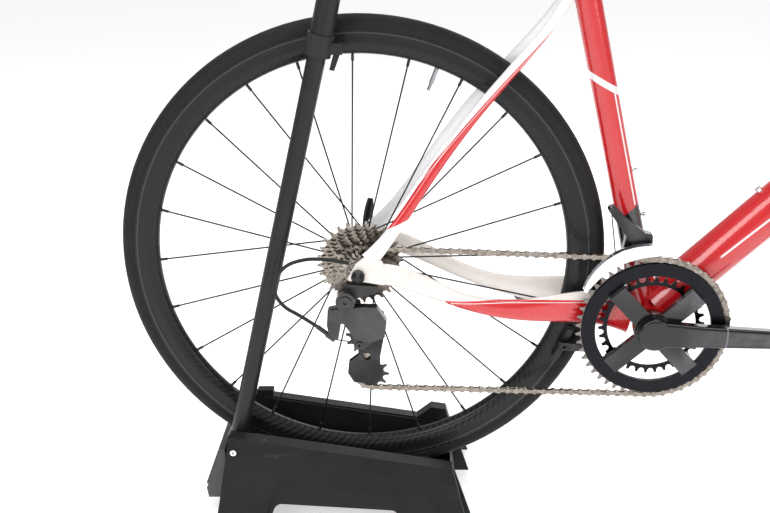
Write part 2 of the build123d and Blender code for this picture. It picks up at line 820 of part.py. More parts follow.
with BuildPart() as derailleur:
    with Locations(axial(knuckle + Vector(0, hanger_y - 6.6, 0))):
        Cylinder(13, 13, align=LOW)
    with Locations(axial(knuckle + Vector(0, hanger_y - 19.6, 0))):
        Cylinder(8, 2.2, align=LOW)
        Cylinder(3, 2.2, align=LOW, mode=Mode.SUBTRACT)
    plate(link_outline, hanger_y - 1.0, 13.4, 4)
    plate(cable_arm_outline, hanger_y - 3.0, 9.0, 3)
    with Locations(axial(cage_knuckle + Vector(0, chain_y - 6.3, 0))):
        Cylinder(13, 22, align=LOW)
    with Locations(axial(cage_knuckle + Vector(0, chain_y - 28.3, 0))):
        Cylinder(7, 1.6, align=LOW)
    with Locations(axial(cable_clamp + Vector(0, -78.6, 0))):
        Cylinder(4.6, 3.4, align=LOW)
        Cylinder(2.0, 3.4, align=LOW, mode=Mode.SUBTRACT)
    rod(Vector(-54, -74, -76), Vector(-38, -74, -88), 3.2)
    rod(Vector(-41, -74, -85.8), Vector(-30, -74, -94), 4.6)
    rod(Vector(-30, -74, -94), cable_clamp + Vector(0, -74, 0), 0.8)
    add(hanger.part, mode=Mode.SUBTRACT)
    add(chain_stays.part, mode=Mode.SUBTRACT)
save(derailleur, "rear_derailleur_body")

housing_run = [
    Vector(-12, -70, 17),
    Vector(-40, -71, 21.5),
    Vector(-68, -72.5, 22),
    Vector(-94, -74, 14),
    Vector(-111, -75, -5),
    Vector(-112, -76, -30),
    Vector(-99, -76.5, -48),
    Vector(-77, -75, -60.5),
    Vector(-54.4, -74, -75.7),
]


def arc_radii(points):
    """Bend radius at each inner point of a hose's route."""
    radii = []
    for before, corner, after in zip(points, points[1:], points[2:]):
        arriving = corner - before
        leaving = after - corner
        half_turn = radians(arriving.get_angle(leaving)) / 2
        radii.append(0.45 * min(arriving.length, leaving.length) / tan(half_turn))
    return radii


with BuildPart() as shift_housing:
    with BuildLine() as housing_line:
        FilletPolyline(*housing_run, radius=arc_radii(housing_run))
    housing_start = Plane(origin=housing_line.line @ 0, z_dir=housing_line.line % 0)
    with BuildSketch(housing_start) as housing_section:
        Circle(2.5)
    sweep(housing_section.sketch, path=housing_line.line)
    add(chain_stays.part, mode=Mode.SUBTRACT)
    add(derailleur.part, mode=Mode.SUBTRACT)
save(shift_housing, "shift_housing")

cage_outline = [
    (-4, -94),
    (12, -66),
    (34, -62),
    (38, -84),
    (31, -132),
    (33, -163),
    (24, -171),
    (-4, -170),
    (-13, -156),
    (-12, -140),
    (2, -128),
]

with BuildPart() as derailleur_cage:
    for y, thickness in ((chain_y - 4.0, 2.0), (chain_y + 5.6, 1.6)):
        with BuildSketch(side_plane(y)) as outline:
            with BuildLine():
                Polyline(cage_outline, close=True)
            make_face()
            fillet(outline.vertices(), 3)
            with Locations(((guide_centre + tension_centre) * 0.5).to_tuple()[::2]):
                Circle(5.5, mode=Mode.SUBTRACT)
        extrude(outline.sketch, amount=thickness)
    for centre in (guide_centre, tension_centre):
        with Locations(axial(centre + Vector(0, chain_y + 6.8, 0))):
            Cylinder(2.5, 13.0, align=LOW)
save(derailleur_cage, "rear_derailleur_cage")

for label, centre, phase in (
    ("guide_pulley", guide_centre, guide_phase),
    ("tension_pulley", tension_centre, tension_phase),
):
    with BuildPart() as pulley:
        sprocket(pulley_teeth, 2.56, chain_y - 0.8, 1.6, phase)
        for y in (chain_y + 3.0, chain_y - 0.8):
            with Locations(axial((0, y, 0))):
                Cylinder(6.5, 2.2, align=LOW)
                Cylinder(2.56, 2.2, align=LOW, mode=Mode.SUBTRACT)
    save(pulley, label, on_stand * Location(centre))


def ring_point(radius, angle, y=0.0):
    """Point around the bottom bracket, by radius and angle."""
    return Vector(bb_x + radius * cos(radians(angle)), y, bb_z + radius * sin(radians(angle)))


with BuildPart() as front_cage:
    for y, thickness, low in ((chain_y - 4.2, 1.3, 106.5), (chain_y + 5.4, 1.3, 107)):
        with BuildSketch(side_plane(y)) as outline:
            with BuildLine():
                heel, toe, mid = 152, 95, 124
                turns = ((low, heel), (low, mid), (low, toe), (122, toe), (124, 112), (112, heel))
                corners = [ring_point(reach, turn) for reach, turn in turns]
                flat = [(p.X, p.Z) for p in corners]
                ThreePointArc(*flat[:3])
                Polyline(flat[2], flat[3])
                ThreePointArc(flat[3], flat[4], flat[5])
                Line(flat[5], flat[0])
            make_face()
        extrude(outline.sketch, amount=thickness)
    for angle in (97, 151):
        spot = ring_point(118 if angle == 97 else 109.5, angle)
        with Locations(axial(spot + Vector(0, chain_y + 5.4, 0))):
            Cylinder(1.6, 10, align=LOW)
save(front_cage, "front_derailleur_cage")

with BuildPart() as front_arm:
    plate([(366, 44), (384, 40), (378, 66), (352, 84), (334, 102), (326, 96), (346, 70)], -30, 9, 2.5)
    plate([(352, 36), (392, 33), (390, 62), (356, 66)], -24, 12, 3)
    rod(Vector(331, -30, 97), Vector(331, -45, 97), 3.2)
    rod(Vector(331, -38, 96), Vector(349, -24, 8), 0.8)
    plate([(358, 34), (390, 31), (388, 60), (362, 62)], -14.6, 9.6, 2)
    add(main_frame.part, mode=Mode.SUBTRACT)
    add(front_cage.part, mode=Mode.SUBTRACT)
save(front_arm, "front_derailleur_arm")


# ---------------------------------------------------------------- rear brake
def pad_place(centre_x, radius, angle, side):
    """Location of a brake pad against the rim, its length along the rim."""
    outward = Vector(cos(radians(angle)), 0, sin(radians(angle)))
    spot = Vector(centre_x, 0, 0) + outward * radius + Vector(0, side * 14.3, 0)
    return Plane(origin=spot, x_dir=(-outward.Z, 0, outward.X), z_dir=(0, side, 0)).location


rear_arm_outline = [
    (280, 21.5),
    (296, 22.5),
    (322, 22),
    (346, 15),
    (356, 6),
    (350, 2),
    (330, 16.2),
    (322, 34),
    (300, 34),
    (280, 30),
]


def brake_pad(place):
    """Add a brake pad in its holder with the holder's bolt."""
    with Locations(place):
        with Locations((0, 0, 2.2)):
            Box(52, 10, 4.4)
        with Locations((0, 0, 6.2)):
            Box(48, 8, 3.6)
        with Locations((0, 0, 7.9)):
            Cylinder(4.6, 6.4, align=LOW)
        with Locations((0, 0, 14.2)):
            Cylinder(5.2, 3.0, align=LOW)
            Cylinder(2.6, 3.4, align=LOW, mode=Mode.SUBTRACT)


rear_pad_angle = -21.2
rear_pivot = Vector(322, 0, -104)
for label, side in (("rear_brake_left_arm", 1), ("rear_brake_right_arm", -1)):
    with BuildPart() as arm:
        with BuildSketch(Plane.XY.offset(-116)) as outline:
            with BuildLine():
                Polyline([(x, side * y) for x, y in rear_arm_outline], close=True)
            make_face()
        extrude(outline.sketch, amount=11)
        brake_pad(pad_place(0, 308.0, rear_pad_angle, side))
    save(arm, label)

with BuildPart() as brake_mounts:
    for side in (1, -1):
        rod(Vector(322, side * 28, -104.8), Vector(322, side * 28, -84), 4)
        rod(Vector(322, side * 28, -119.5), Vector(322, side * 28, -116.2), 5)
    add(chain_stays.part, mode=Mode.SUBTRACT)

# ---------------------------------------------------------------- fork and cockpit
crown = head_bottom + steer_down * 6
fork_tip = front_axle
steerer_top = head_top - steer_down * 66

with BuildPart() as fork:
    tube(
        [
            (head_bottom + steer_down * 1.0, steer_down, 46, 46),
            (head_bottom + steer_down * 14, steer_down, 60, 46),
            (head_bottom + steer_down * 34, steer_down, 82, 34),
        ]
    )
    for side in (1, -1):
        stations = []
        for share, y, width, depth in ((0.0, 33, 16, 40), (0.45, 45, 13, 30), (0.93, 54, 8, 16)):
            start = head_bottom + steer_down * 26
            spot = start + (fork_tip - start) * share - steer_forward * (8 * share * (1 - share))
            middle = Vector(spot.X, side * y, spot.Z)
            stations.append((middle, (fork_tip - start).normalized(), width, depth))
        tube(stations)
        with BuildSketch(side_plane(side * 53.4)) as tip:
            with Locations((fork_tip.X, 0)):
                Circle(11)
                Circle(5.2, mode=Mode.SUBTRACT)
            with BuildLine():
                corners = ((-18, 30), (-4, 36), (8, 6), (-8, 7))
                Polyline([(fork_tip.X + x, z) for x, z in corners], close=True)
            make_face()
        extrude(tip.sketch, amount=3.1, both=True)
    with Locations(axial(front_axle + Vector(0, 60, 0))):
        Cylinder(5.6, 120, align=LOW, mode=Mode.SUBTRACT)
    rod(head_bottom + steer_down * 8, steerer_top, 14.3)
    crown_bolt = head_bottom + steer_down * 16
    rod(crown_bolt + steer_forward * 10, crown_bolt + steer_forward * 55.6, 5)
save(fork, "fork")

with BuildPart() as headset:
    for low in (head_top + steer_down * 11, head_bottom):
        with Locations(between(low, low - steer_down)):
            Cylinder(20.8, 11, align=LOW)
            Cylinder(14.4, 11, align=LOW, mode=Mode.SUBTRACT)
bb_bearings = bb_cups.part.moved(Location(bb))
save_group([headset, bb_bearings], "frame_bearings")

stem_centre = head_top - steer_down * 45
stem_dir = Vector(cos(radians(11.4)), 0, sin(radians(11.4)))
bar_centre = stem_centre + stem_dir * 110
with BuildPart() as stem:
    rod(stem_centre + steer_down * 20, stem_centre - steer_down * 20, 19)
    rod(head_top - steer_down * 1.0, head_top - steer_down * 10, 22)
    rod(head_top - steer_down * 10.2, head_top - steer_down * 24.8, 17.5)
    rod(stem_centre - steer_down * 20.2, stem_centre - steer_down * 27, 17)
    tube(
        [
            (stem_centre + stem_dir * 8, stem_dir, 34, 36),
            (stem_centre + stem_dir * 60, stem_dir, 30, 31),
            (stem_centre + stem_dir * 104, stem_dir, 38, 36),
        ]
    )
    with Locations(axial(bar_centre + Vector(0, 22, 0))):
        Cylinder(21, 44, align=LOW)
        Cylinder(15.9, 44, align=LOW, mode=Mode.SUBTRACT)
    with Locations(between(head_top + steer_down * 5, steerer_top)):
        Cylinder(14.35, 72, align=LOW, mode=Mode.SUBTRACT)
save(stem, "stem")


def bar_path(side):
    """Half of the drop bar's centre line, from the stem outwards."""
    x, z = bar_centre.X, bar_centre.Z
    return [
        (x, 0, z),
        (x, side * 208, z),
        (x + 84, side * 210, z - 2),
        (x + 92, side * 212, z - 84),
        (x + 40, side * 214, z - 132),
        (x - 50, side * 216, z - 136),
    ]


with BuildPart() as handlebar:
    for side in (1, -1):
        with BuildLine() as half_bar:
            FilletPolyline(*bar_path(side), radius=33)
        with BuildSketch(Plane(origin=half_bar.line @ 0, z_dir=half_bar.line % 0)) as round_bar:
            Circle(12)
            Circle(10.2, mode=Mode.SUBTRACT)
        sweep(round_bar.sketch, path=half_bar.line)
    rod(bar_centre + Vector(0, 40, 0), bar_centre + Vector(0, -40, 0), 15.85)
    with Locations(axial(bar_centre + Vector(0, 60, 0))):
        Cylinder(10.2, 120, align=LOW, mode=Mode.SUBTRACT)
save(handlebar, "handlebar")

with BuildPart() as bar_tape:
    for side in (1, -1):
        path = bar_path(side)
        path[0] = (path[0][0], side * 62, path[0][2])
        with BuildLine() as half_bar:
            FilletPolyline(*path, radius=33)
        with BuildSketch(Plane(origin=half_bar.line @ 0, z_dir=half_bar.line % 0)) as wrap:
            Circle(14.8)
            Circle(12.1, mode=Mode.SUBTRACT)
        sweep(wrap.sketch, path=half_bar.line)
        end = half_bar.line @ 1
        with Locations(between(end, end + (half_bar.line % 1))):
            Cylinder(14.8, 5, align=LOW)
save(bar_tape, "bar_tape")

hood_start = Vector(bar_centre.X + 72, 0, bar_centre.Z + 2)
with BuildPart() as hoods:
    for side in (1, -1):
        y = side * 211
        tube(
            [
                (hood_start + Vector(0, y, 4), Vector(1, 0, 0.1), 28, 34),
                (hood_start + Vector(40, y, 10), Vector(1, 0, 0.2), 29, 37),
                (hood_start + Vector(72, y, 20), Vector(1, 0, 0.5), 28, 36),
                (hood_start + Vector(88, y, 44), Vector(0.3, 0, 1), 24, 28),
                (hood_start + Vector(88, y, 60), Vector(0.1, 0, 1), 16, 18),
            ]
        )
    for side in (1, -1):
        with Locations((hood_start.X + 88, side * 211, hood_start.Z - 6)):
            Box(60, 13, 52, mode=Mode.SUBTRACT)
    for side in (1, -1):
        with BuildLine() as half_bar:
            FilletPolyline(*bar_path(side), radius=33)
        with BuildSketch(Plane(origin=half_bar.line @ 0, z_dir=half_bar.line % 0)) as inside:
            Circle(14.85)
        sweep(inside.sketch, path=half_bar.line, mode=Mode.SUBTRACT)
save(hoods, "lever_hoods")

lever_pivot = Vector(hood_start.X + 82, 0, hood_start.Z + 16)
for label, side in (("left_brake_lever", 1), ("right_brake_lever", -1)):
    y = side * 211
    with BuildPart() as lever:
        tube(
            [
                (Vector(lever_pivot.X + 8, y, lever_pivot.Z - 6), Vector(0.3, 0, -1), 11, 12),
                (Vector(lever_pivot.X + 16, y, lever_pivot.Z - 40), Vector(0.1, 0, -1), 16, 12),
                (Vector(lever_pivot.X + 12, side * 214, lever_pivot.Z - 86), Vector(-0.2, 0, -1), 18, 9),
                (Vector(lever_pivot.X - 6, side * 220, lever_pivot.Z - 126), Vector(-0.5, 0, -1), 15, 7),
            ]
        )
        with Locations(axial((lever_pivot.X + 4, y + 4.5, lever_pivot.Z - 5))):
            Cylinder(6, 9, align=LOW)
        add(hoods.part, mode=Mode.SUBTRACT)
    save(lever, label)

front_pad_angle = 104.0
front_pivot = head_bottom + steer_down * 8 + steer_forward * 56
for label, side in (("front_brake_left_arm", 1), ("front_brake_right_arm", -1)):
    with BuildPart() as arm:
        arm_plane = Plane(origin=front_pivot, x_dir=(0, 1, 0), z_dir=steer_forward)
        with BuildSketch(arm_plane) as outline:
            with BuildLine():
                shape = [(3, 14), (14, 20), (34, 8), (42, -30), (36, -76)]
                shape += [(25, -76), (27, -30), (20, -8), (3, -4)]
                Polyline(*[(side * x, z) for x, z in shape], close=True)
            make_face()
        extrude(outline.sketch, amount=10)
        with Locations(arm_plane.location * Location((side * 10, 0, 0))):
            Cylinder(5.5, 12, align=LOW)
        brake_pad(pad_place(wheelbase, 308.0, front_pad_angle, side))
    save(arm, label)


# ---------------------------------------------------------------- stand
# Drawn from the floor under the rear axle: X forward, Z up.
rail_rear = (-186.0, 139.6)
rail_front = (124.0, 89.4)
foot_height = 3.0
shell_wall = 4.0


def rail_z(x):
    """Height of the sloping rail tops."""
    share = (x - rail_rear[0]) / (rail_front[0] - rail_rear[0])
    return rail_rear[1] + (rail_front[1] - rail_rear[1]) * share


mast_foot = Vector(-172, mast_y, -273)
mast_hole = Location((-axle_x, 0, 0)) * on_stand * axial(mast_foot)


def side_profile(x, inset, side):
    """Cross-section of one side shell at x, drawn inwards by inset."""
    top = rail_z(x) - inset
    points = [
        (rail_inner_y + (inset if inset else 0), top),
        (rail_outer_y - inset, top - 1.5),
        (rail_outer_y + 9 - inset, top - 22),
        (rail_outer_y + 24 - inset, 52),
        (rail_outer_y + 46 - inset, foot_height if not inset else -1),
        (rail_inner_y + (inset if inset else 0), foot_height if not inset else -1),
    ]
    plane = Plane(origin=(x, 0, 0), x_dir=(0, 1, 0), z_dir=(1, 0, 0))
    with BuildSketch(plane, mode=Mode.PRIVATE) as outline:
        with BuildLine():
            Polyline(*[(side * y, z) for y, z in points], close=True)
        make_face()
    return outline.sketch


def outward_block(points, side, face_top, face_bottom):
    """Private solid outside a leaning plane, over an outline in X and Z."""
    with BuildPart(mode=Mode.PRIVATE) as block:
        with BuildSketch(side_plane(side * 200)) as outline:
            with BuildLine():
                Polyline(*points, close=True)
            make_face()
        extrude(outline.sketch, amount=side * 160)
        lean = Plane(
            origin=(0, side * face_bottom, 0),
            x_dir=(1, 0, 0),
            z_dir=Vector(0, side * 110, face_bottom - face_top).normalized(),
        )
        split(bisect_by=lean, keep=Keep.TOP)
    return block.part


recess = [(-126, 70), (-98, 104), (66, 74), (106, 40), (126, -20), (-160, -20)]
recess_behind = [(-132, 72), (-101, 109), (69, 79), (111, 42), (134, -20), (-168, -20)]
window = [(-152, -20), (-127, 46), (44, 37), (74, -20)]

for label, side in (("stand_near_side", -1), ("stand_far_side", 1)):
    with BuildPart() as shell:
        loft([side_profile(x, 0, side) for x in (-222, 168)], ruled=True)
        add(outward_block(recess, side, 83, 113), mode=Mode.SUBTRACT)
        hollow = loft([side_profile(x, shell_wall, side) for x in (-230, 176)], ruled=True, mode=Mode.PRIVATE)
        hollow = hollow - outward_block(recess_behind, side, 79, 109)
        add(hollow, mode=Mode.SUBTRACT)
        with BuildSketch(side_plane(side * 60 + 100)) as opening:
            with BuildLine():
                Polyline(*window, close=True)
            make_face()
            fillet(opening.vertices().group_by(Axis.Z)[-1], 12)
        extrude(opening.sketch, amount=200, mode=Mode.SUBTRACT)
        rear_cut = Plane(origin=(-196, 0, 120), x_dir=(0, 1, 0), z_dir=(-0.985, 0, 0.17))
        front_cut = Plane(origin=(124, 0, 90), x_dir=(0, 1, 0), z_dir=(0.955, 0, 0.297))
        split(bisect_by=rear_cut, keep=Keep.BOTTOM)
        split(bisect_by=front_cut, keep=Keep.BOTTOM)
        if side < 0:
            with Locations(mast_hole):
                Cylinder(3.3, 60, align=LOW, mode=Mode.SUBTRACT)
    if side > 0:
        with BuildPart() as shell_with_blocks:
            add(shell.part)
            corners = ((72, -1), (94, 20), (116, 20), (122, -1))
            plate_points = [(x, rail_z(x) + above) for x, above in corners]
            with BuildSketch(side_plane(rail_outer_y)) as block:
                with BuildLine():
                    Polyline(*plate_points, close=True)
                make_face()
            extrude(block.sketch, amount=rail_outer_y - rail_inner_y)
            with Locations((-160, (rail_inner_y + rail_outer_y) / 2, rail_z(-160) + 3)):
                Box(24, 14, 8)
        shell = shell_with_blocks
    save(shell, label, stand_at)
    if label == "stand_near_side":
        near_shell = shell.part.moved(on_stand.inverse() * stand_at)

trough_y = rail_inner_y - 0.3
trough_outline = [
    (-184, 112),
    (-160, rail_z(-160) - 2),
    (118, rail_z(118) - 2),
    (128, 34),
    (128, 20),
    (-206, 20),
    (-206, 60),
]

with BuildPart() as trough:
    with BuildSketch(side_plane(trough_y)) as walls:
        with BuildLine():
            Polyline(trough_outline, close=True)
        make_face()
    extrude(walls.sketch, amount=2 * trough_y)
    with BuildSketch(side_plane(trough_y - 4)) as inside:
        with BuildLine():
            Polyline((-200, 200), (-200, 26), (122, 26), (122, 200), close=True)
        make_face()
    extrude(inside.sketch, amount=2 * trough_y - 8, mode=Mode.SUBTRACT)
    for x, seat, top in ((-150, 81.2, 98), (84, 58.4, 74)):
        with Locations((x, 0, 25)):
            Box(16, 2 * trough_y - 6, top - 25, align=LOW)
        with Locations((x, 0, seat)):
            Box(30, 30, 60, align=LOW, mode=Mode.SUBTRACT)
    with Locations(mast_hole):
        Cylinder(3.3, 60, align=LOW, mode=Mode.SUBTRACT)
save(trough, "stand_trough", stand_at)

with BuildPart() as rear_step:
    with BuildSketch(side_plane(48)) as outline:
        with BuildLine():
            Polyline((-206.3, 103), (-206.3, 22), (-236, 22), (-238, 38), (-212, 105), close=True)
        make_face()
    extrude(outline.sketch, amount=96)
    for k in range(8):
        with Locations((-236.4 + k * 3.1, 0, 44 + k * 8)):
            Box(3.2, 88, 3.2)
save(rear_step, "stand_rear_step", stand_at)

with BuildPart() as stand_feet:
    for x in (-190, 118):
        for y in (-112, 112):
            with Locations((x, y, 0)):
                Cylinder(8, foot_height, align=LOW)
save(stand_feet, "stand_feet", stand_at)

# ---------------------------------------------------------------- mast
mast_dir = Vector(cos(radians(mast_lean)), 0, sin(radians(mast_lean)))
collar_foot = mast_foot + mast_dir * mast_extension


def cradle_points(z):
    """Open hook around the back of the saddle, at height z."""
    return [(104, -79, z), (66, -72, z), (66, 72, z), (104, 79, z)]


def along_mast(distance):
    """Point on the mast's axis, measured from its pivot."""
    return mast_foot + mast_dir * distance


with BuildPart() as mast_lower:
    rod(along_mast(-16), along_mast(mast_extension + 90), 12.2)
    with Locations(axial(mast_foot + Vector(0, 12.4, 0))):
        Cylinder(15, 24.8, align=LOW)
    with Locations(axial(mast_foot + Vector(0, 20, 0))):
        Cylinder(3.06, 40, align=LOW, mode=Mode.SUBTRACT)
    with Locations(between(along_mast(20), along_mast(30))):
        Cylinder(10.4, mast_extension + 100, align=LOW, mode=Mode.SUBTRACT)
save(mast_lower, "mast_lower_tube")

with BuildPart() as mast_bolt:
    with Locations(axial(mast_foot + Vector(0, 13, 0))):
        Cylinder(3.0, 57.5, align=LOW)
    with Locations(axial(mast_foot + Vector(0, -44.5, 0))):
        Cylinder(4.6, 3, align=LOW)
        Cylinder(2.0, 3, align=LOW, mode=Mode.SUBTRACT)
    with Locations(axial(mast_foot + Vector(0, 16.5, 0))):
        Cylinder(6.0, 3.6, align=LOW)
    add(near_shell, mode=Mode.SUBTRACT)
save_group([bottle_bolts, brake_mounts, mast_bolt], "frame_and_mast_bolts")

mast_front = Vector(mast_dir.Z, 0, -mast_dir.X)
cam_height = along_mast(mast_extension + 14)
cam_pivot = cam_height + mast_front * 23.5
with BuildPart() as mast_collar:
    with Locations(between(collar_foot, along_mast(mast_extension + 10))):
        Cylinder(17.5, 28, align=LOW)
    for y in (9.4, -4.4):
        with Locations(axial(cam_height + mast_front * 19 + Vector(0, y, 0))):
            Box(22, 14, 5, align=LOW)
    with Locations(between(collar_foot, along_mast(mast_extension + 10))):
        Cylinder(12.45, 40, align=LOW, mode=Mode.SUBTRACT)
        with Locations((0, 0, 5)):
            Cylinder(15.1, 40, align=LOW, mode=Mode.SUBTRACT)
save(mast_collar, "mast_collar")

with BuildPart() as cam_lever:
    with Locations(axial(cam_pivot + Vector(0, 4.0, 0))):
        Cylinder(5.5, 8, align=LOW)
    with BuildSketch(side_plane(mast_y + 3.6)) as outline:
        with BuildLine():
            tip = cam_pivot - mast_dir * 28 - mast_front
            corners = (
                cam_pivot - mast_front * 3,
                cam_pivot + mast_front * 5.5,
                tip + mast_front * 3,
                tip - mast_front * 3.5,
            )
            Polyline([(corner.X, corner.Z) for corner in corners], close=True)
        make_face()
    extrude(outline.sketch, amount=7.2)
save(cam_lever, "mast_clamp_lever")

mast_top = along_mast(905)
cradle_z = saddle_z - 14
with BuildPart() as mast_upper:
    rod(along_mast(mast_extension + 6), mast_top, 15.0)
    with Locations(between(along_mast(mast_extension), mast_top)):
        Cylinder(12.5, 319, align=LOW, mode=Mode.SUBTRACT)
    rod(mast_top - mast_dir * 6, mast_top + mast_dir * 12, 15.6)
    rod(Vector(mast_top.X, mast_y, cradle_z), Vector(60, -4, cradle_z), 6)
    with BuildLine() as hook_line:
        FilletPolyline(*cradle_points(cradle_z), radius=24)
    with BuildSketch(Plane(origin=hook_line.line @ 0, z_dir=hook_line.line % 0)) as bar:
        Circle(5)
    sweep(bar.sketch, path=hook_line.line)
save(mast_upper, "mast_upper_tube")

with BuildPart() as cradle_sleeve:
    with BuildLine() as hook_line:
        FilletPolyline(*cradle_points(cradle_z), radius=24)
    with BuildSketch(Plane(origin=hook_line.line @ 0, z_dir=hook_line.line % 0)) as rubber:
        Circle(8.5)
    sweep(rubber.sketch, path=hook_line.line)
    add(mast_upper.part, mode=Mode.SUBTRACT)
save(cradle_sleeve, "saddle_cradle_sleeve")
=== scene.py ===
"""Looks of the road bicycle on its display stand: materials, saddle, bar tape, light and camera."""

from math import asin, cos, pi, radians, sin

import bmesh
import bpy
import numpy as np
from mathutils import Matrix, Vector


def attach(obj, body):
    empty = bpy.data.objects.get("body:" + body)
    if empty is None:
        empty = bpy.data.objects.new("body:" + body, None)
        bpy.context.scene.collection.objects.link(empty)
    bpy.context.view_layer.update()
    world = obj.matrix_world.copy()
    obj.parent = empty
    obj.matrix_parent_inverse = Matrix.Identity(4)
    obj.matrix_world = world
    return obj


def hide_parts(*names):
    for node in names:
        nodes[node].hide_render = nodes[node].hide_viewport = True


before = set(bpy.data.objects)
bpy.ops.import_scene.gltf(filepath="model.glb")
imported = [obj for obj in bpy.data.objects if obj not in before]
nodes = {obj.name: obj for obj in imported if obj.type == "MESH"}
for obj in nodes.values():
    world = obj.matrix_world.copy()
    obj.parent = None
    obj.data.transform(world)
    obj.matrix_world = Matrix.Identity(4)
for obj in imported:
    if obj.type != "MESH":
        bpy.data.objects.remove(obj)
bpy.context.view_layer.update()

# ---------------------------------------------------------------- the bicycle's own frame
WHEELBASE = 0.993
AXLE_LIFT = 0.385
PITCH = asin(0.050 / WHEELBASE)
REAR = Vector((-WHEELBASE * cos(PITCH) / 2, 0, AXLE_LIFT))
AHEAD = Vector((cos(PITCH), 0, -sin(PITCH)))
UPWARD = Vector((sin(PITCH), 0, cos(PITCH)))
FRONT = REAR + AHEAD * WHEELBASE
CRANK = REAR + AHEAD * 0.402 + UPWARD * -0.070


def place(x, y, z):
    """Row-frame point of a bicycle-frame point given in millimetres."""
    return REAR + AHEAD * (x / 1000) + Vector((0, y / 1000, 0)) + UPWARD * (z / 1000)


# ---------------------------------------------------------------- material building
class Shader:
    """A Principled material with short calls for its node graph."""

    def __init__(
        self, name, roughness=0.5, metallic=0.0, coat=0.0, coat_roughness=0.05, sheen=0.0, specular=0.5
    ):
        self.mat = bpy.data.materials.new(name)
        self.mat.use_nodes = True
        self.tree = self.mat.node_tree
        self.bsdf = self.tree.nodes["Principled BSDF"]
        self.bsdf.inputs["Roughness"].default_value = roughness
        self.bsdf.inputs["Metallic"].default_value = metallic
        self.bsdf.inputs["Coat Weight"].default_value = coat
        self.bsdf.inputs["Coat Roughness"].default_value = coat_roughness
        self.bsdf.inputs["Sheen Weight"].default_value = sheen
        self.bsdf.inputs["Specular IOR Level"].default_value = specular
        self.spot = self.node("ShaderNodeTexCoord").outputs["Object"]

    def node(self, kind, **settings):
        made = self.tree.nodes.new(kind)
        for key, value in settings.items():
            setattr(made, key, value)
        return made

    def plug(self, socket, value):
        if isinstance(value, bpy.types.NodeSocket):
            self.tree.links.new(value, socket)
        else:
            socket.default_value = value

    def math(self, operation, *values, clamp=False):
        made = self.node("ShaderNodeMath", operation=operation, use_clamp=clamp)
        for socket, value in zip(made.inputs, values):
            self.plug(socket, value)
        return made.outputs[0]

    def vector(self, operation, *values):
        made = self.node("ShaderNodeVectorMath", operation=operation)
        for socket, value in zip(made.inputs, values):
            self.plug(socket, value)
        return made.outputs["Value" if operation in ("DOT_PRODUCT", "LENGTH") else "Vector"]

    def noise(self, scale, detail=3.0, where=None, stretch=None, roughness=0.5):
        where = where or self.spot
        if stretch:
            where = self.vector("MULTIPLY", where, stretch)
        made = self.node("ShaderNodeTexNoise")
        self.plug(made.inputs["Vector"], where)
        made.inputs["Scale"].default_value = scale
        made.inputs["Detail"].default_value = detail
        made.inputs["Roughness"].default_value = roughness
        return made.outputs["Fac"]

    def mix(self, share, first, second):
        made = self.node("ShaderNodeMix", data_type="RGBA")
        self.plug(made.inputs["Factor"], share)
        for socket, value in ((made.inputs[6], first), (made.inputs[7], second)):
            self.plug(socket, (*value, 1) if isinstance(value, tuple) else value)
        return made.outputs[2]

    def between(self, value, low, high, soft=0.25):
        """1 where value lies between low and high, with edges soft wide."""
        rising = self.step(value, low, soft)
        falling = self.step(value, high, soft)
        return self.math("SUBTRACT", rising, falling, clamp=True)

    def step(self, value, edge, soft=0.25):
        shifted = self.math("SUBTRACT", value, edge)
        return self.math("MULTIPLY_ADD", shifted, 0.5 / soft, 0.5, clamp=True)

    def scaled(self, value, low, high):
        """Map 0..1 to low..high."""
        return self.math("MULTIPLY_ADD", value, high - low, low)

    def colour(self, value):
        self.plug(
            self.bsdf.inputs["Base Color"], (*value, 1) if isinstance(value, tuple) else value
        )

    def rough(self, value):
        self.plug(self.bsdf.inputs["Roughness"], value)

    def bump(self, height, strength=0.3, distance=0.0004):
        made = self.node("ShaderNodeBump")
        made.inputs["Strength"].default_value = strength
        made.inputs["Distance"].default_value = distance
        self.plug(made.inputs["Height"], height)
        self.plug(self.bsdf.inputs["Normal"], made.outputs["Normal"])

    def cycle_space(self):
        """Bicycle-frame x, y and z in millimetres."""
        out = self.vector("SUBTRACT", self.spot, tuple(REAR))
        x = self.math("MULTIPLY", self.vector("DOT_PRODUCT", out, tuple(AHEAD)), 1000.0)
        z = self.math("MULTIPLY", self.vector("DOT_PRODUCT", out, tuple(UPWARD)), 1000.0)
        y = self.math("MULTIPLY", self.vector("DOT_PRODUCT", out, (0.0, 1.0, 0.0)), 1000.0)
        return x, y, z

    def around(self, centre):
        """Radius in millimetres and angle in radians about an axle along Y."""
        out = self.vector("SUBTRACT", self.spot, tuple(centre))
        flat = self.vector("MULTIPLY", out, (1.0, 0.0, 1.0))
        radius = self.math("MULTIPLY", self.vector("LENGTH", flat), 1000.0)
        parts = self.node("ShaderNodeSeparateXYZ")
        self.plug(parts.inputs[0], out)
        angle = self.math("ARCTAN2", parts.outputs[2], parts.outputs[0])
        return radius, angle

    def wear(self, colour, worn, amount=0.5, scale=60.0):
        """Blend a worn tone into the edges that stand proud."""
        sharp = self.node("ShaderNodeNewGeometry").outputs["Pointiness"]
        edge = self.math("MULTIPLY_ADD", sharp, 14.0, -7.35, clamp=True)
        broken = self.math("MULTIPLY", edge, self.noise(scale, 5))
        return self.mix(self.math("MULTIPLY", broken, amount), colour, worn)


RED = (0.60, 0.006, 0.010)
DEEP_RED = (0.55, 0.005, 0.009)
WHITE = (0.86, 0.85, 0.86)
CREAM = (0.80, 0.73, 0.66)
BLACK = (0.012, 0.012, 0.013)


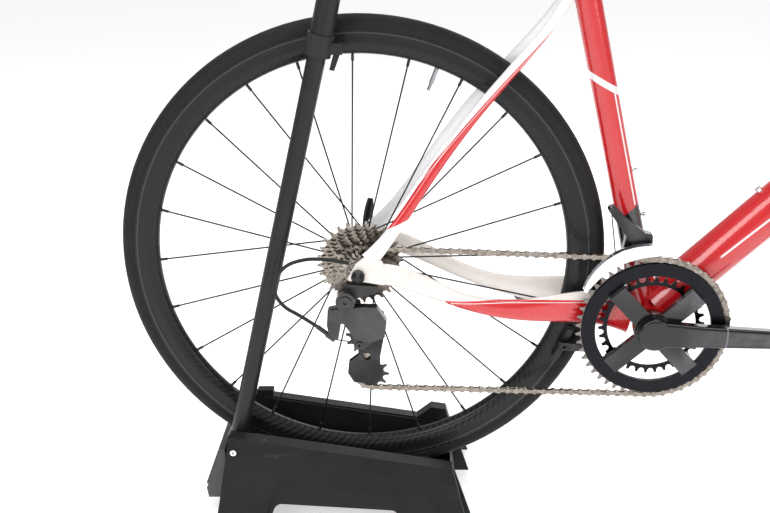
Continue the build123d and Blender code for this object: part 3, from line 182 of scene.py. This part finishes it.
def lacquer(name):
    """Gloss lacquer with faint orange peel and uneven roughness."""
    paint = Shader(name, roughness=0.28, coat=1.0, coat_roughness=0.04)
    paint.rough(paint.scaled(paint.noise(45, 4), 0.24, 0.30))
    paint.bump(paint.noise(700, 2), 0.06, 0.0002)
    return paint


def tone(paint, low, high, scale=8):
    """Slow variation between two close tones."""
    return paint.mix(paint.noise(scale, 4), low, high)


SEAT_ANGLE = 74.3  # degrees, seat tube against the level


def frame_paint():
    paint = lacquer("frame_lacquer")
    x, _, z = paint.cycle_space()
    colour = tone(paint, DEEP_RED, RED)
    seat = Vector((-cos(radians(SEAT_ANGLE)), sin(radians(SEAT_ANGLE))))
    out_x = paint.math("SUBTRACT", x, 402.0)
    out_z = paint.math("ADD", z, 70.0)
    along = paint.math(
        "ADD", paint.math("MULTIPLY", out_x, seat.x), paint.math("MULTIPLY", out_z, seat.y)
    )
    across = paint.math(
        "ADD", paint.math("MULTIPLY", out_x, seat.y), paint.math("MULTIPLY", out_z, -seat.x)
    )
    on_tube = paint.between(across, -24, 22, 1.0)
    band = paint.math("ADD", along, paint.math("MULTIPLY", across, 0.95))
    white = paint.math("MULTIPLY", paint.between(band, 334, 345, 0.6), on_tube)
    pin = paint.math(
        "MULTIPLY", paint.between(across, 9.5, 11.6, 0.4), paint.between(along, 168, 333, 1.0)
    )
    white = paint.math("MAXIMUM", white, pin)
    run = Vector((433, 422)).normalized()
    down = paint.math(
        "ADD", paint.math("MULTIPLY", out_x, run.x), paint.math("MULTIPLY", out_z, run.y)
    )
    lift = paint.math(
        "ADD", paint.math("MULTIPLY", out_x, -run.y), paint.math("MULTIPLY", out_z, run.x)
    )
    line = paint.math(
        "MULTIPLY", paint.between(lift, 11.5, 14.2, 0.4), paint.between(down, 130, 520, 2.0)
    )
    low_line = paint.math(
        "MULTIPLY", paint.between(lift, -22.0, -17.5, 0.4), paint.between(down, 210, 520, 2.0)
    )
    white = paint.math("MAXIMUM", white, paint.math("MAXIMUM", line, low_line))
    colour = paint.mix(white, colour, WHITE)
    slanted = paint.math("SUBTRACT", along, paint.math("MULTIPLY", across, 0.5))
    black = paint.math("MULTIPLY", paint.between(slanted, 106, 160, 0.6), on_tube)
    colour = paint.mix(black, colour, BLACK)
    paint.colour(colour)
    return paint.mat


def outer_side(paint, y):
    """1 on faces that look away from the bicycle's middle plane."""
    normal = paint.node("ShaderNodeNewGeometry").outputs["Normal"]
    sideways = paint.vector("DOT_PRODUCT", normal, (0.0, 1.0, 0.0))
    outward = paint.math("MULTIPLY", sideways, paint.math("SIGN", y))
    return paint.step(outward, 0.02, 0.04)


def stay_paint():
    paint = lacquer("seat_stay_lacquer")
    x, y, z = paint.cycle_space()
    outward = outer_side(paint, y)
    colour = paint.mix(paint.noise(10, 3), (0.88, 0.87, 0.88), (0.80, 0.79, 0.81))
    front = paint.math("SUBTRACT", x, paint.math("MULTIPLY_ADD", z, 0.689, -7.0))
    sweep = paint.math(
        "MULTIPLY", paint.math("SUBTRACT", z, 59.0), paint.math("SUBTRACT", z, 236.0)
    )
    edge = paint.math("MULTIPLY_ADD", z, 0.0508, -9.0)
    edge = paint.math("ADD", edge, paint.math("MULTIPLY", sweep, 0.000514))
    foot = paint.math("SUBTRACT", z, paint.math("MULTIPLY", x, 0.51))
    red = paint.math("MULTIPLY", paint.step(front, edge, 0.5), paint.step(foot, 45.9, 0.6))
    red = paint.math("MULTIPLY", red, paint.step(paint.math("MULTIPLY", z, -1.0), -330.0, 1.0))
    red = paint.math("MULTIPLY", red, outward)
    trim = paint.math("SUBTRACT", front, edge)
    dash = paint.math("MULTIPLY", paint.between(trim, 2.6, 3.3, 0.25), red)
    colour = paint.mix(red, colour, RED)
    colour = paint.mix(dash, colour, WHITE)
    paint.colour(colour)
    return paint.mat


def chain_stay_paint():
    paint = lacquer("chain_stay_lacquer")
    x, y, z = paint.cycle_space()
    outward = outer_side(paint, y)
    colour = paint.mix(paint.noise(14, 3), (0.84, 0.80, 0.78), CREAM)
    top = paint.math("MULTIPLY_ADD", x, -0.02, -32.0)
    below = paint.math("SUBTRACT", top, z)
    start = paint.math("MULTIPLY_ADD", z, -0.9, 86.0)
    past = paint.math("SUBTRACT", x, start)
    red = paint.math("MULTIPLY", paint.step(below, 0.0, 0.5), paint.step(past, 0.0, 0.5))
    red = paint.math("MULTIPLY", red, outward)
    pin = paint.math("MULTIPLY", paint.between(below, 3.0, 3.9, 0.25), paint.step(past, 5.0, 0.5))
    upright = paint.math(
        "MULTIPLY", paint.between(past, 5.0, 6.1, 0.25), paint.step(below, 3.0, 0.25)
    )
    pin = paint.math("MAXIMUM", pin, upright)
    colour = paint.mix(red, colour, RED)
    colour = paint.mix(paint.math("MULTIPLY", pin, red), colour, WHITE)
    scuff = paint.math(
        "MULTIPLY", paint.between(z, -8, 14, 4.0), paint.step(paint.noise(90, 5), 0.62, 0.08)
    )
    colour = paint.mix(paint.math("MULTIPLY", scuff, 0.25), colour, (0.35, 0.32, 0.30))
    paint.colour(colour)
    return paint.mat


def fork_paint():
    paint = lacquer("fork_lacquer")
    _, _, z = paint.cycle_space()
    colour = tone(paint, DEEP_RED, RED)
    colour = paint.mix(paint.between(z, 150, 176, 0.6), colour, WHITE)
    colour = paint.mix(paint.between(z, 138, 142, 0.5), colour, WHITE)
    colour = paint.mix(paint.step(paint.math("MULTIPLY", z, -1.0), -20, 1.0), colour, BLACK)
    paint.colour(colour)
    return paint.mat


def carbon_rim(name, centre):
    """Twill pattern under a satin coat, with a brake track of finer texture; the twill is painted
    brighter towards the bottom of the wheel as a painted glint.
    """
    rim = Shader(name, roughness=0.34, coat=0.12, coat_roughness=0.16, specular=0.25)
    radius, angle = rim.around(centre)
    column = rim.math("FLOOR", rim.math("MULTIPLY", angle, 290 / 2.6))
    row = rim.math("FLOOR", rim.math("DIVIDE", radius, 2.6))
    cell = rim.math("FRACT", rim.math("MULTIPLY", rim.math("ADD", column, row), 0.25))
    twill = rim.math("GREATER_THAN", cell, 0.49)
    track = rim.between(radius, 299.0, 311.5, 0.4)
    # Painted glint: the twill's contrast rises on the lower part of the wheel, where light catches it.
    low = rim.step(rim.math("MULTIPLY", rim.math("SINE", angle), -1.0), 0.72, 0.2)
    twill_with_painted_glint = rim.math("MULTIPLY", twill, rim.scaled(low, 0.25, 1.0))
    base = rim.mix(twill_with_painted_glint, (0.006, 0.006, 0.007), (0.020, 0.020, 0.021))
    base = rim.mix(
        track, base, rim.mix(rim.noise(600, 4), (0.007, 0.007, 0.008), (0.015, 0.015, 0.016))
    )
    base = rim.mix(rim.between(radius, 311.4, 313.0, 0.3), base, (0.05, 0.05, 0.055))
    rim.colour(base)
    gloss = rim.math("ADD", rim.scaled(twill_with_painted_glint, 0.30, 0.46), rim.math("MULTIPLY", track, 0.16))
    rim.rough(gloss)
    rim.bump(rim.math("ADD", twill, rim.noise(300, 3)), 0.10, 0.00015)
    return rim.mat


def tyre(name, centre):
    """Smooth slick tread and finely ribbed sidewall."""
    rubber = Shader(name, roughness=0.62, sheen=0.03, specular=0.2)
    radius, angle = rubber.around(centre)
    side = rubber.step(rubber.math("MULTIPLY", radius, -1.0), -327.0, 1.0)
    colour = rubber.mix(rubber.noise(70, 5), (0.006, 0.006, 0.006), (0.013, 0.013, 0.013))
    dust = rubber.math(
        "MULTIPLY", rubber.noise(14, 5, roughness=0.7), rubber.step(radius, 331.0, 2.0)
    )
    colour = rubber.mix(rubber.math("MULTIPLY", dust, 0.5), colour, (0.035, 0.033, 0.031))
    colour = rubber.mix(rubber.math("MULTIPLY", side, 0.35), colour, (0.018, 0.018, 0.019))
    rubber.colour(colour)
    rubber.rough(rubber.scaled(rubber.noise(30, 3), 0.52, 0.72))
    cord = rubber.math("SINE", rubber.math("MULTIPLY", angle, 900.0))
    ring = rubber.math("SINE", rubber.math("MULTIPLY", radius, 5.2))
    fine = rubber.math("MULTIPLY", rubber.math("ADD", cord, ring), rubber.scaled(side, 0.15, 0.5))
    rubber.bump(rubber.math("ADD", fine, rubber.noise(500, 3)), 0.16, 0.00025)
    return rubber.mat


def brushed(name, base, worn, centre=None, roughness=(0.22, 0.42), metallic=1.0, soil=0.0):
    """Metal turned or brushed, with patches of soil scattered by noise."""
    metal = Shader(name, roughness=0.3, metallic=metallic)
    if centre is not None:
        radius, angle = metal.around(centre)
        turned = metal.node("ShaderNodeCombineXYZ")
        metal.plug(turned.inputs[0], metal.math("MULTIPLY", radius, 2.2))
        metal.plug(turned.inputs[1], metal.math("MULTIPLY", angle, 1.4))
        lines = metal.noise(1.4, 5, where=turned.outputs[0])
    else:
        lines = metal.noise(60, 5, stretch=(1.0, 1.0, 14.0))
    colour = metal.mix(lines, base, worn)
    if soil:
        dirt = metal.step(metal.noise(160, 5, roughness=0.65), 0.52, 0.16)
        colour = metal.mix(metal.math("MULTIPLY", dirt, soil), colour, (0.055, 0.040, 0.028))
    metal.colour(colour)
    metal.rough(metal.scaled(lines, *roughness))
    metal.bump(lines, 0.14, 0.0001)
    return metal.mat


def anodised(name, base, shine=(0.28, 0.44), metallic=0.85, coat=0.0):
    """Blasted and anodised alloy, brighter on worn edges."""
    alloy = Shader(name, roughness=0.35, metallic=metallic, coat=coat, coat_roughness=0.08)
    light = tuple(min(1, c * 1.6 + 0.004) for c in base)
    colour = alloy.mix(alloy.noise(220, 4), base, light)
    colour = alloy.wear(colour, tuple(min(1, c * 2.5 + 0.12) for c in base), 0.35)
    alloy.colour(colour)
    alloy.rough(alloy.scaled(alloy.noise(50, 4), *shine))
    alloy.bump(alloy.noise(1800, 2), 0.10, 0.00008)
    return alloy.mat


def moulded(name, base, light, grain=1300, roughness=(0.42, 0.58), depth=0.22):
    """Moulded plastic with a spark-eroded grain and faint handling marks."""
    plastic = Shader(name, roughness=0.5, specular=0.22)
    colour = plastic.mix(plastic.noise(30, 5), base, light)
    scratch = plastic.step(plastic.noise(9, 6, stretch=(1.0, 1.0, 9.0), roughness=0.75), 0.66, 0.03)
    colour = plastic.mix(
        plastic.math("MULTIPLY", scratch, 0.25), colour, tuple(c * 4 + 0.02 for c in light)
    )
    plastic.colour(colour)
    plastic.rough(plastic.scaled(plastic.noise(24, 4), *roughness))
    cells = plastic.node("ShaderNodeTexVoronoi")
    plastic.plug(cells.inputs["Vector"], plastic.spot)
    cells.inputs["Scale"].default_value = grain
    plastic.bump(
        plastic.math("ADD", cells.outputs["Distance"], plastic.noise(grain, 2)), depth, 0.00018
    )
    return plastic.mat


def ribbed_step():
    """Grey moulding with cross ribs, the crests painted lighter and the grooves darker as painted light
    and shade.
    """
    plastic = Shader("step_plastic", roughness=0.5)
    parts = plastic.node("ShaderNodeSeparateXYZ")
    plastic.plug(parts.inputs[0], plastic.spot)
    wave = plastic.math("SINE", plastic.math("MULTIPLY", parts.outputs[1], 1100.0))
    rib = plastic.math("MULTIPLY_ADD", wave, 0.5, 0.5)
    # Painted light and shade: the colour follows the rib wave, lighter on the crests and darker in the
    # grooves.
    colour = plastic.mix(rib, (0.035, 0.035, 0.038), (0.105, 0.105, 0.110))
    plastic.colour(
        plastic.mix(plastic.math("MULTIPLY", plastic.noise(60, 4), 0.4), colour, (0.16, 0.16, 0.165))
    )
    plastic.rough(plastic.scaled(plastic.noise(40, 3), 0.42, 0.60))
    plastic.bump(rib, 0.8, 0.0008)
    return plastic.mat


def powder_coat():
    coat = Shader("mast_powder_coat", roughness=0.36, metallic=0.1, specular=0.35)
    coat.colour(coat.mix(coat.noise(24, 5), (0.008, 0.008, 0.009), (0.018, 0.018, 0.020)))
    coat.rough(coat.scaled(coat.noise(16, 4), 0.30, 0.46))
    coat.bump(coat.noise(1500, 2), 0.18, 0.00012)
    return coat.mat


def soft_rubber(name, base=(0.014, 0.014, 0.015), scale=900):
    rubber = Shader(name, roughness=0.7, sheen=0.05, specular=0.2)
    light = tuple(c * 2.4 + 0.004 for c in base)
    rubber.colour(rubber.mix(rubber.noise(50, 5), base, light))
    rubber.rough(rubber.scaled(rubber.noise(35, 3), 0.60, 0.80))
    dots = rubber.node("ShaderNodeTexVoronoi")
    rubber.plug(dots.inputs["Vector"], rubber.spot)
    dots.inputs["Scale"].default_value = scale
    rubber.bump(dots.outputs["Distance"], 0.35, 0.0003)
    return rubber.mat


def crank_gloss():
    alloy = Shader(
        "crank_gloss", roughness=0.24, metallic=0.35, coat=0.5, coat_roughness=0.1, specular=0.4
    )
    radius, _ = alloy.around(CRANK)
    colour = alloy.mix(alloy.noise(260, 4), (0.005, 0.005, 0.006), (0.012, 0.012, 0.014))
    ring = alloy.between(radius, 94.6, 96.4, 0.3)
    colour = alloy.mix(alloy.math("MULTIPLY", ring, 0.7), colour, (0.20, 0.20, 0.21))
    alloy.colour(alloy.wear(colour, (0.30, 0.30, 0.32), 0.4))
    alloy.rough(alloy.scaled(alloy.noise(26, 4), 0.18, 0.32))
    alloy.bump(alloy.noise(1500, 2), 0.05, 0.00006)
    return alloy.mat


def ring_metal():
    """Black chainring whose worn teeth show bare steel-grey alloy."""
    alloy = Shader("chainring_alloy", roughness=0.3, metallic=0.95)
    radius, _ = alloy.around(CRANK)
    colour = alloy.mix(alloy.noise(260, 4), (0.010, 0.010, 0.012), (0.026, 0.026, 0.030))
    teeth = alloy.step(radius, 96.8, 0.5)
    worn = alloy.mix(alloy.noise(130, 5), (0.30, 0.28, 0.26), (0.13, 0.11, 0.10))
    alloy.colour(alloy.mix(teeth, colour, worn))
    alloy.rough(alloy.scaled(alloy.noise(80, 4), 0.24, 0.42))
    alloy.bump(alloy.noise(900, 3), 0.10, 0.0001)
    return alloy.mat


def leather():
    """Fine-grained synthetic leather whose polish varies from place to place."""
    skin = Shader("saddle_skin", roughness=0.46, sheen=0.12, specular=0.45)
    skin.colour(skin.mix(skin.noise(35, 5), (0.012, 0.012, 0.013), (0.030, 0.029, 0.030)))
    skin.rough(skin.scaled(skin.noise(14, 4), 0.36, 0.56))
    cells = skin.node("ShaderNodeTexVoronoi")
    skin.plug(cells.inputs["Vector"], skin.spot)
    cells.inputs["Scale"].default_value = 620
    skin.bump(skin.math("ADD", cells.outputs["Distance"], skin.noise(1200, 3)), 0.35, 0.0003)
    return skin.mat


def tape_cloth():
    """Cushioned tape: matt foam skin with rows of pin-holes, painted near black inside as painted shade.
    """
    tape = Shader("bar_tape_foam", roughness=0.78, sheen=0.25, specular=0.25)
    dots = tape.node("ShaderNodeTexVoronoi")
    tape.plug(dots.inputs["Vector"], tape.spot)
    dots.inputs["Scale"].default_value = 330
    dots.inputs["Randomness"].default_value = 0.25
    hole = tape.step(dots.outputs["Distance"], 0.2, 0.06)
    colour = tape.mix(tape.noise(80, 5), (0.016, 0.016, 0.017), (0.034, 0.034, 0.035))
    # Painted shade: the pin-holes are coloured near black for the shade inside them.
    tape.colour(tape.mix(hole, (0.005, 0.005, 0.005), colour))
    tape.bump(tape.math("ADD", hole, tape.noise(1500, 3)), 0.4, 0.0003)
    return tape.mat


def stitching():
    thread = Shader("saddle_thread", roughness=0.6, sheen=0.3)
    thread.colour(thread.mix(thread.noise(900, 4), (0.10, 0.10, 0.105), (0.26, 0.26, 0.27)))
    thread.bump(thread.noise(2500, 2), 0.4, 0.0001)
    return thread.mat


def pulley_plastic():
    plastic = Shader("pulley_plastic", roughness=0.5)
    plastic.colour(plastic.mix(plastic.noise(200, 5), (0.014, 0.014, 0.014), (0.05, 0.042, 0.034)))
    plastic.rough(plastic.scaled(plastic.noise(90, 4), 0.38, 0.6))
    plastic.bump(plastic.noise(900, 3), 0.2, 0.0001)
    return plastic.mat


alloy_black = anodised("alloy_black", (0.010, 0.010, 0.011), (0.28, 0.44), 0.5)
alloy_grey = anodised("alloy_grey", (0.24, 0.24, 0.26), (0.24, 0.38), 1.0)
alloy_silver = anodised("alloy_silver", (0.55, 0.55, 0.57), (0.20, 0.34), 1.0)
composite = moulded(
    "black_composite", (0.010, 0.010, 0.011), (0.022, 0.022, 0.024), 1800, (0.26, 0.40), 0.10
)
stand_black = moulded("stand_plastic", (0.008, 0.008, 0.0085), (0.018, 0.018, 0.019))
cable_skin = moulded(
    "housing_skin", (0.012, 0.012, 0.012), (0.030, 0.030, 0.032), 2200, (0.36, 0.5), 0.12
)
looks = {
    "main_frame": frame_paint(),
    "seat_stays": stay_paint(),
    "chain_stays": chain_stay_paint(),
    "fork": fork_paint(),
    "rear_tyre": tyre("rear_tyre_rubber", REAR),
    "front_tyre": tyre("front_tyre_rubber", FRONT),
    "rear_rim": carbon_rim("rear_rim_carbon", REAR),
    "front_rim": carbon_rim("front_rim_carbon", FRONT),
    "rear_spokes": anodised("spoke_black", (0.014, 0.014, 0.015), (0.26, 0.38), 0.8),
    "rear_hub": alloy_black,
    "front_hub": alloy_black,
    "rear_valve": alloy_grey,
    "rear_axle": alloy_black,
    "front_axle": alloy_black,
    "rear_quick_release_lever": anodised(
        "lever_black", (0.016, 0.016, 0.018), (0.22, 0.34), 0.7, 0.4
    ),
    "cassette_sprockets": brushed(
        "sprocket_steel", (0.58, 0.53, 0.47), (0.27, 0.23, 0.19), REAR, (0.24, 0.42), 1.0, 0.75
    ),
    "freehub_and_lockring": brushed(
        "freehub_steel", (0.34, 0.32, 0.30), (0.16, 0.14, 0.12), REAR, (0.26, 0.44), 1.0, 0.6
    ),
    "chain": brushed(
        "chain_steel", (0.50, 0.46, 0.41), (0.24, 0.20, 0.165), None, (0.20, 0.40), 1.0, 0.7
    ),
    "right_crank_and_axle": crank_gloss(),
    "outer_chainring": ring_metal(),
    "chainring_bolts": alloy_grey,
    "frame_bearings": alloy_black,
    "frame_and_mast_bolts": alloy_silver,
    "derailleur_hanger": alloy_black,
    "rear_derailleur_body": anodised(
        "derailleur_grey", (0.016, 0.016, 0.018), (0.20, 0.36), 0.6, 0.5
    ),
    "rear_derailleur_cage": anodised("cage_black", (0.012, 0.012, 0.013), (0.26, 0.40), 0.6),
    "guide_pulley": pulley_plastic(),
    "front_derailleur_cage": alloy_silver,
    "front_derailleur_arm": anodised(
        "derailleur_black", (0.014, 0.014, 0.016), (0.24, 0.36), 0.7, 0.3
    ),
    "seatpost": composite,
    "saddle_shell": composite,
    "saddle_rails": brushed(
        "rail_steel", (0.55, 0.55, 0.56), (0.36, 0.36, 0.37), None, (0.2, 0.34)
    ),
    "bar_tape": tape_cloth(),
    "lever_hoods": soft_rubber("hood_rubber", (0.016, 0.016, 0.017), 700),
    "stand_near_side": stand_black,
    "stand_rear_step": ribbed_step(),
    "stand_feet": soft_rubber("foot_rubber"),
    "mast_lower_tube": powder_coat(),
    "mast_collar": moulded(
        "collar_plastic", (0.012, 0.012, 0.013), (0.030, 0.030, 0.032), 1600, (0.36, 0.5)
    ),
    "saddle_cradle_sleeve": soft_rubber("sleeve_rubber", (0.012, 0.012, 0.012), 1000),
    "shift_housing": cable_skin,
}
looks["left_crank"] = looks["right_crank_and_axle"]
looks["inner_chainring"] = looks["outer_chainring"]
looks["front_spokes"] = looks["rear_spokes"]
looks["tension_pulley"] = looks["guide_pulley"]
looks["front_quick_release_lever"] = looks["rear_quick_release_lever"]
looks["mast_upper_tube"] = looks["mast_lower_tube"]
looks["mast_clamp_lever"] = looks["mast_collar"]
looks["stand_far_side"] = looks["stand_trough"] = looks["stand_near_side"]
for name in ("seat_clamp", "stem", "handlebar", "left_brake_lever", "right_brake_lever"):
    looks[name] = alloy_black
for name in (
    "rear_brake_left_arm", "rear_brake_right_arm", "front_brake_left_arm", "front_brake_right_arm"
):
    looks[name] = alloy_black

for name, piece in nodes.items():
    piece.data.materials.clear()
    piece.data.materials.append(looks.get(name, alloy_black))


# ---------------------------------------------------------------- saddle cover
SADDLE_Z = 633.0
# x, width, height of the side wall, drop of the crown
saddle_stations = np.array(
    [
        (79, 100, 15, 7.5),
        (88, 124, 20, 5.5),
        (110, 138, 23, 3.5),
        (140, 132, 24, 2.2),
        (175, 110, 23, 2.6),
        (210, 82, 21, 2.6),
        (245, 60, 20, 3.0),
        (285, 44, 20, 3.8),
        (318, 37, 17, 5.6),
        (334, 28, 13, 9.5),
    ]
)


def saddle_point(x, turn):
    """Point of the cover at station x; turn runs 0..1 from one lower edge over the crown to the other."""
    width, wall, drop = (
        np.interp(x, saddle_stations[:, 0], saddle_stations[:, k]) for k in (1, 2, 3)
    )
    side = turn * 2 - 1
    reach = abs(side)
    half = width / 2
    swing = min(1.0, reach / 0.72)
    y = half * sin(swing * pi / 2) ** 0.86
    crown = -drop - wall * 0.42 * (1 - cos(swing * pi / 2)) ** 1.25
    z = crown
    if reach > 0.72:
        tuck = (reach - 0.72) / 0.28
        y = half * (1 - 0.085 * tuck**1.6)
        z = crown - (wall * 0.58) * tuck
    length_fade = np.clip((x - 105) / 30, 0, 1) * np.clip((285 - x) / 60, 0, 1)
    groove = 1.9 * np.exp(-((y / 7.0) ** 2)) * length_fade
    return x, y * (1 if side > 0 else -1), z - groove


def saddle_spot(x, turn):
    """The same point in the row frame."""
    x, y, z = saddle_point(x, turn)
    return place(x, y, SADDLE_Z + z)


def build_saddle():
    rows = np.concatenate(
        [np.linspace(79, 110, 14), np.linspace(113, 318, 60), np.linspace(320, 334, 9)]
    )
    columns = np.linspace(0, 1, 61)
    body = bmesh.new()
    grid = [[body.verts.new(saddle_spot(x, turn)) for turn in columns] for x in rows]
    for first, second in zip(grid, grid[1:]):
        for a, b, c, d in zip(first, first[1:], second[1:], second):
            body.faces.new((a, b, c, d))
    base = [row[0] for row in grid] + grid[-1][1:-1] + [row[-1] for row in reversed(grid)]
    base += list(reversed(grid[0][1:-1]))
    bottom = body.faces.new(base)
    bmesh.ops.triangulate(body, faces=[bottom])
    bmesh.ops.recalc_face_normals(body, faces=body.faces)
    mesh = bpy.data.meshes.new("saddle_padding")
    body.to_mesh(mesh)
    body.free()
    cover = bpy.data.objects.new("saddle_padding", mesh)
    bpy.context.scene.collection.objects.link(cover)
    mesh.materials.append(leather())
    for polygon in mesh.polygons:
        polygon.use_smooth = True
    return cover


saddle = build_saddle()
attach(saddle, "root")
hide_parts("saddle_cover")


def stitch_row(turn, name):
    """One row of raised stitches along the saddle's edge."""
    row = bmesh.new()
    run = np.arange(92, 326, 4.2)
    for x in run:
        ends = [saddle_spot(end, turn) for end in (x, x + 2.9)]
        direction = (ends[1] - ends[0]).normalized()
        turned = direction.to_track_quat("Z", "Y").to_matrix().to_4x4()
        middle = (ends[0] + ends[1]) / 2
        made = bmesh.ops.create_uvsphere(row, u_segments=8, v_segments=6, radius=1.0)
        shape = Matrix.Translation(middle) @ turned @ Matrix.Diagonal((0.00042, 0.00042, 0.0016, 1))
        bmesh.ops.transform(row, matrix=shape, verts=made["verts"])
    mesh = bpy.data.meshes.new(name)
    row.to_mesh(mesh)
    row.free()
    for polygon in mesh.polygons:
        polygon.use_smooth = True
    stitches = bpy.data.objects.new(name, mesh)
    bpy.context.scene.collection.objects.link(stitches)
    mesh.materials.append(thread)
    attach(stitches, "root")


thread = stitching()
for row_name, turn in (("saddle_stitches_right", 0.155), ("saddle_stitches_left", 0.845)):
    stitch_row(turn, row_name)


# ---------------------------------------------------------------- bar tape
def bar_route(side):
    """Control points of the taped half of the bar, bicycle frame, millimetres."""
    stem = Vector((787, 505)) - Vector((0.29935, -0.95414)) * 45
    centre = stem + Vector((cos(radians(11.4)), sin(radians(11.4)))) * 110
    x, z = centre
    return [
        (x, side * 62, z),
        (x, side * 208, z),
        (x + 84, side * 210, z - 2),
        (x + 92, side * 212, z - 84),
        (x + 40, side * 214, z - 132),
        (x - 50, side * 216, z - 136),
    ]


def rounded(points, radius=33.0, steps=14):
    """The route with its corners rounded by arcs, as many short segments."""
    points = [np.array(p, float) for p in points]
    route = [points[0]]
    for before, corner, after in zip(points, points[1:], points[2:]):
        come = (corner - before) / np.linalg.norm(corner - before)
        go = (after - corner) / np.linalg.norm(after - corner)
        turn = np.arccos(np.clip(come @ go, -1, 1))
        cut = radius * np.tan(turn / 2)
        start = corner - come * cut
        inward = go - come * (come @ go)
        inward /= np.linalg.norm(inward)
        hub = start + inward * radius
        for k in range(steps + 1):
            swing = turn * k / steps
            route.append(hub - inward * radius * np.cos(swing) + come * radius * np.sin(swing))
    route.append(points[-1])
    return np.array(route)


def resample(route, count):
    length = np.concatenate([[0], np.cumsum(np.linalg.norm(np.diff(route, axis=0), axis=1))])
    even = np.linspace(0, length[-1], count)
    return np.array([np.interp(even, length, route[:, k]) for k in range(3)]).T, even


TAPE_LAP = 1.05
LAP_EDGE = 0.07
TAPE_PITCH = 19.0
TAPE_RADIUS = 13.5  # mm, bare turn of tape
TAPE_SIDES = 40


def wound_tape(side):
    """Overlapping turns of tape: each turn's trailing edge stands on the last one."""
    route, run = resample(rounded(bar_route(side)), 700)
    ahead = np.gradient(route, axis=0)
    ahead /= np.linalg.norm(ahead, axis=1)[:, None]
    reference = np.array([0.0, 0.0, 1.0])
    frames = []
    for direction in ahead:
        reference = reference - direction * (reference @ direction)
        reference /= np.linalg.norm(reference)
        frames.append((reference.copy(), np.cross(direction, reference)))
    body = bmesh.new()
    rings = []
    for spot, distance, (up, out) in zip(route, run, frames):
        ring = []
        for k in range(TAPE_SIDES):
            swing = 2 * pi * k / TAPE_SIDES
            lap = (distance / TAPE_PITCH + side * swing / (2 * pi)) % 1.0
            ridge = TAPE_LAP * (1 - lap) if lap > LAP_EDGE else TAPE_LAP * lap / LAP_EDGE * (
                1 - LAP_EDGE
            )
            fade = min(1.0, distance / 6, (run[-1] - distance) / 6)
            radius = TAPE_RADIUS + ridge * fade + 0.15 * sin(distance * 0.9 + swing * 3)
            point = spot + (up * cos(swing) + out * sin(swing)) * radius
            ring.append(body.verts.new(place(*point)))
        rings.append(ring)
    for first, second in zip(rings, rings[1:]):
        for k in range(TAPE_SIDES):
            nxt = (k + 1) % TAPE_SIDES
            body.faces.new((first[k], first[nxt], second[nxt], second[k]))
    body.faces.new(rings[0])
    body.faces.new(rings[-1])
    bmesh.ops.recalc_face_normals(body, faces=body.faces)
    mesh = bpy.data.meshes.new("tape")
    body.to_mesh(mesh)
    body.free()
    for polygon in mesh.polygons:
        polygon.use_smooth = True
    name = "wound_tape_left" if side > 0 else "wound_tape_right"
    wrap = bpy.data.objects.new(name, mesh)
    bpy.context.scene.collection.objects.link(wrap)
    mesh.materials.append(looks["bar_tape"])
    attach(wrap, "fork")
    return wrap


tapes = [wound_tape(side) for side in (1, -1)]
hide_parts("bar_tape")


# ---------------------------------------------------------------- stage, light and camera
def floor_material():
    floor = Shader("floor_paper", roughness=0.7)
    floor.colour(floor.mix(floor.noise(3, 4), (0.93, 0.93, 0.94), (0.90, 0.90, 0.91)))
    floor.rough(floor.scaled(floor.noise(8, 3), 0.6, 0.8))
    floor.bsdf.inputs["Emission Color"].default_value = (1, 1, 1, 1)
    floor.bsdf.inputs["Emission Strength"].default_value = 0.52
    return floor.mat


sheet = bmesh.new()
corners = [sheet.verts.new(c) for c in ((-14, -14, 0), (14, -14, 0), (14, 14, 0), (-14, 14, 0))]
sheet.faces.new(corners)
floor_mesh = bpy.data.meshes.new("floor")
sheet.to_mesh(floor_mesh)
sheet.free()
floor = bpy.data.objects.new("floor", floor_mesh)
bpy.context.scene.collection.objects.link(floor)
floor_mesh.materials.append(floor_material())
floor.location.z = -0.0005

world = bpy.data.worlds.new("studio")
world.use_nodes = True
world.node_tree.nodes["Background"].inputs[0].default_value = (1.0, 1.0, 1.0, 1)
world.node_tree.nodes["Background"].inputs[1].default_value = 0.42
bpy.context.scene.world = world
bpy.context.scene.view_settings.view_transform = "Standard"


def softbox(name, spot, target, size, power):
    lamp = bpy.data.lights.new(name, "AREA")
    lamp.shape = "RECTANGLE"
    lamp.size, lamp.size_y = size
    lamp.energy = power
    holder = bpy.data.objects.new(name, lamp)
    bpy.context.scene.collection.objects.link(holder)
    holder.location = spot
    holder.rotation_euler = (Vector(target) - Vector(spot)).to_track_quat("-Z", "Y").to_euler()


softbox("overhead", (-0.2, -0.4, 2.9), (-0.2, 0.1, 0.4), (2.6, 1.6), 46)
softbox("key", (-1.9, -2.3, 1.9), (-0.3, 0, 0.4), (1.4, 1.4), 30)
softbox("fill", (1.9, -2.0, 1.3), (-0.1, 0, 0.4), (1.4, 1.4), 18)
softbox("rear", (0.4, 2.4, 1.6), (-0.2, 0, 0.5), (2.0, 1.2), 22)

YAW, LOOK_DOWN, ROLL = radians(2.02), radians(21.47), radians(1.56)
forward = Vector((-sin(YAW) * cos(LOOK_DOWN), cos(YAW) * cos(LOOK_DOWN), -sin(LOOK_DOWN)))
side_on = Vector((cos(YAW), sin(YAW), 0))
upright = side_on.cross(forward)
right = side_on * cos(ROLL) + upright * sin(ROLL)
top = -side_on * sin(ROLL) + upright * cos(ROLL)


def turned(direction):
    """A bicycle-frame direction in the row frame."""
    return AHEAD * direction.x + Vector((0, direction.y, 0)) + UPWARD * direction.z


lens = bpy.data.cameras.new("camera")
lens.sensor_width = 36
lens.lens = 50.87
lens.clip_end = 60
camera = bpy.data.objects.new("camera", lens)
bpy.context.scene.collection.objects.link(camera)
axes = Matrix((turned(right), turned(top), -turned(forward))).transposed()
camera.matrix_world = Matrix.Translation(place(82.3, -1409.2, 555.8)) @ axes.to_4x4()
bpy.context.scene.camera = camera
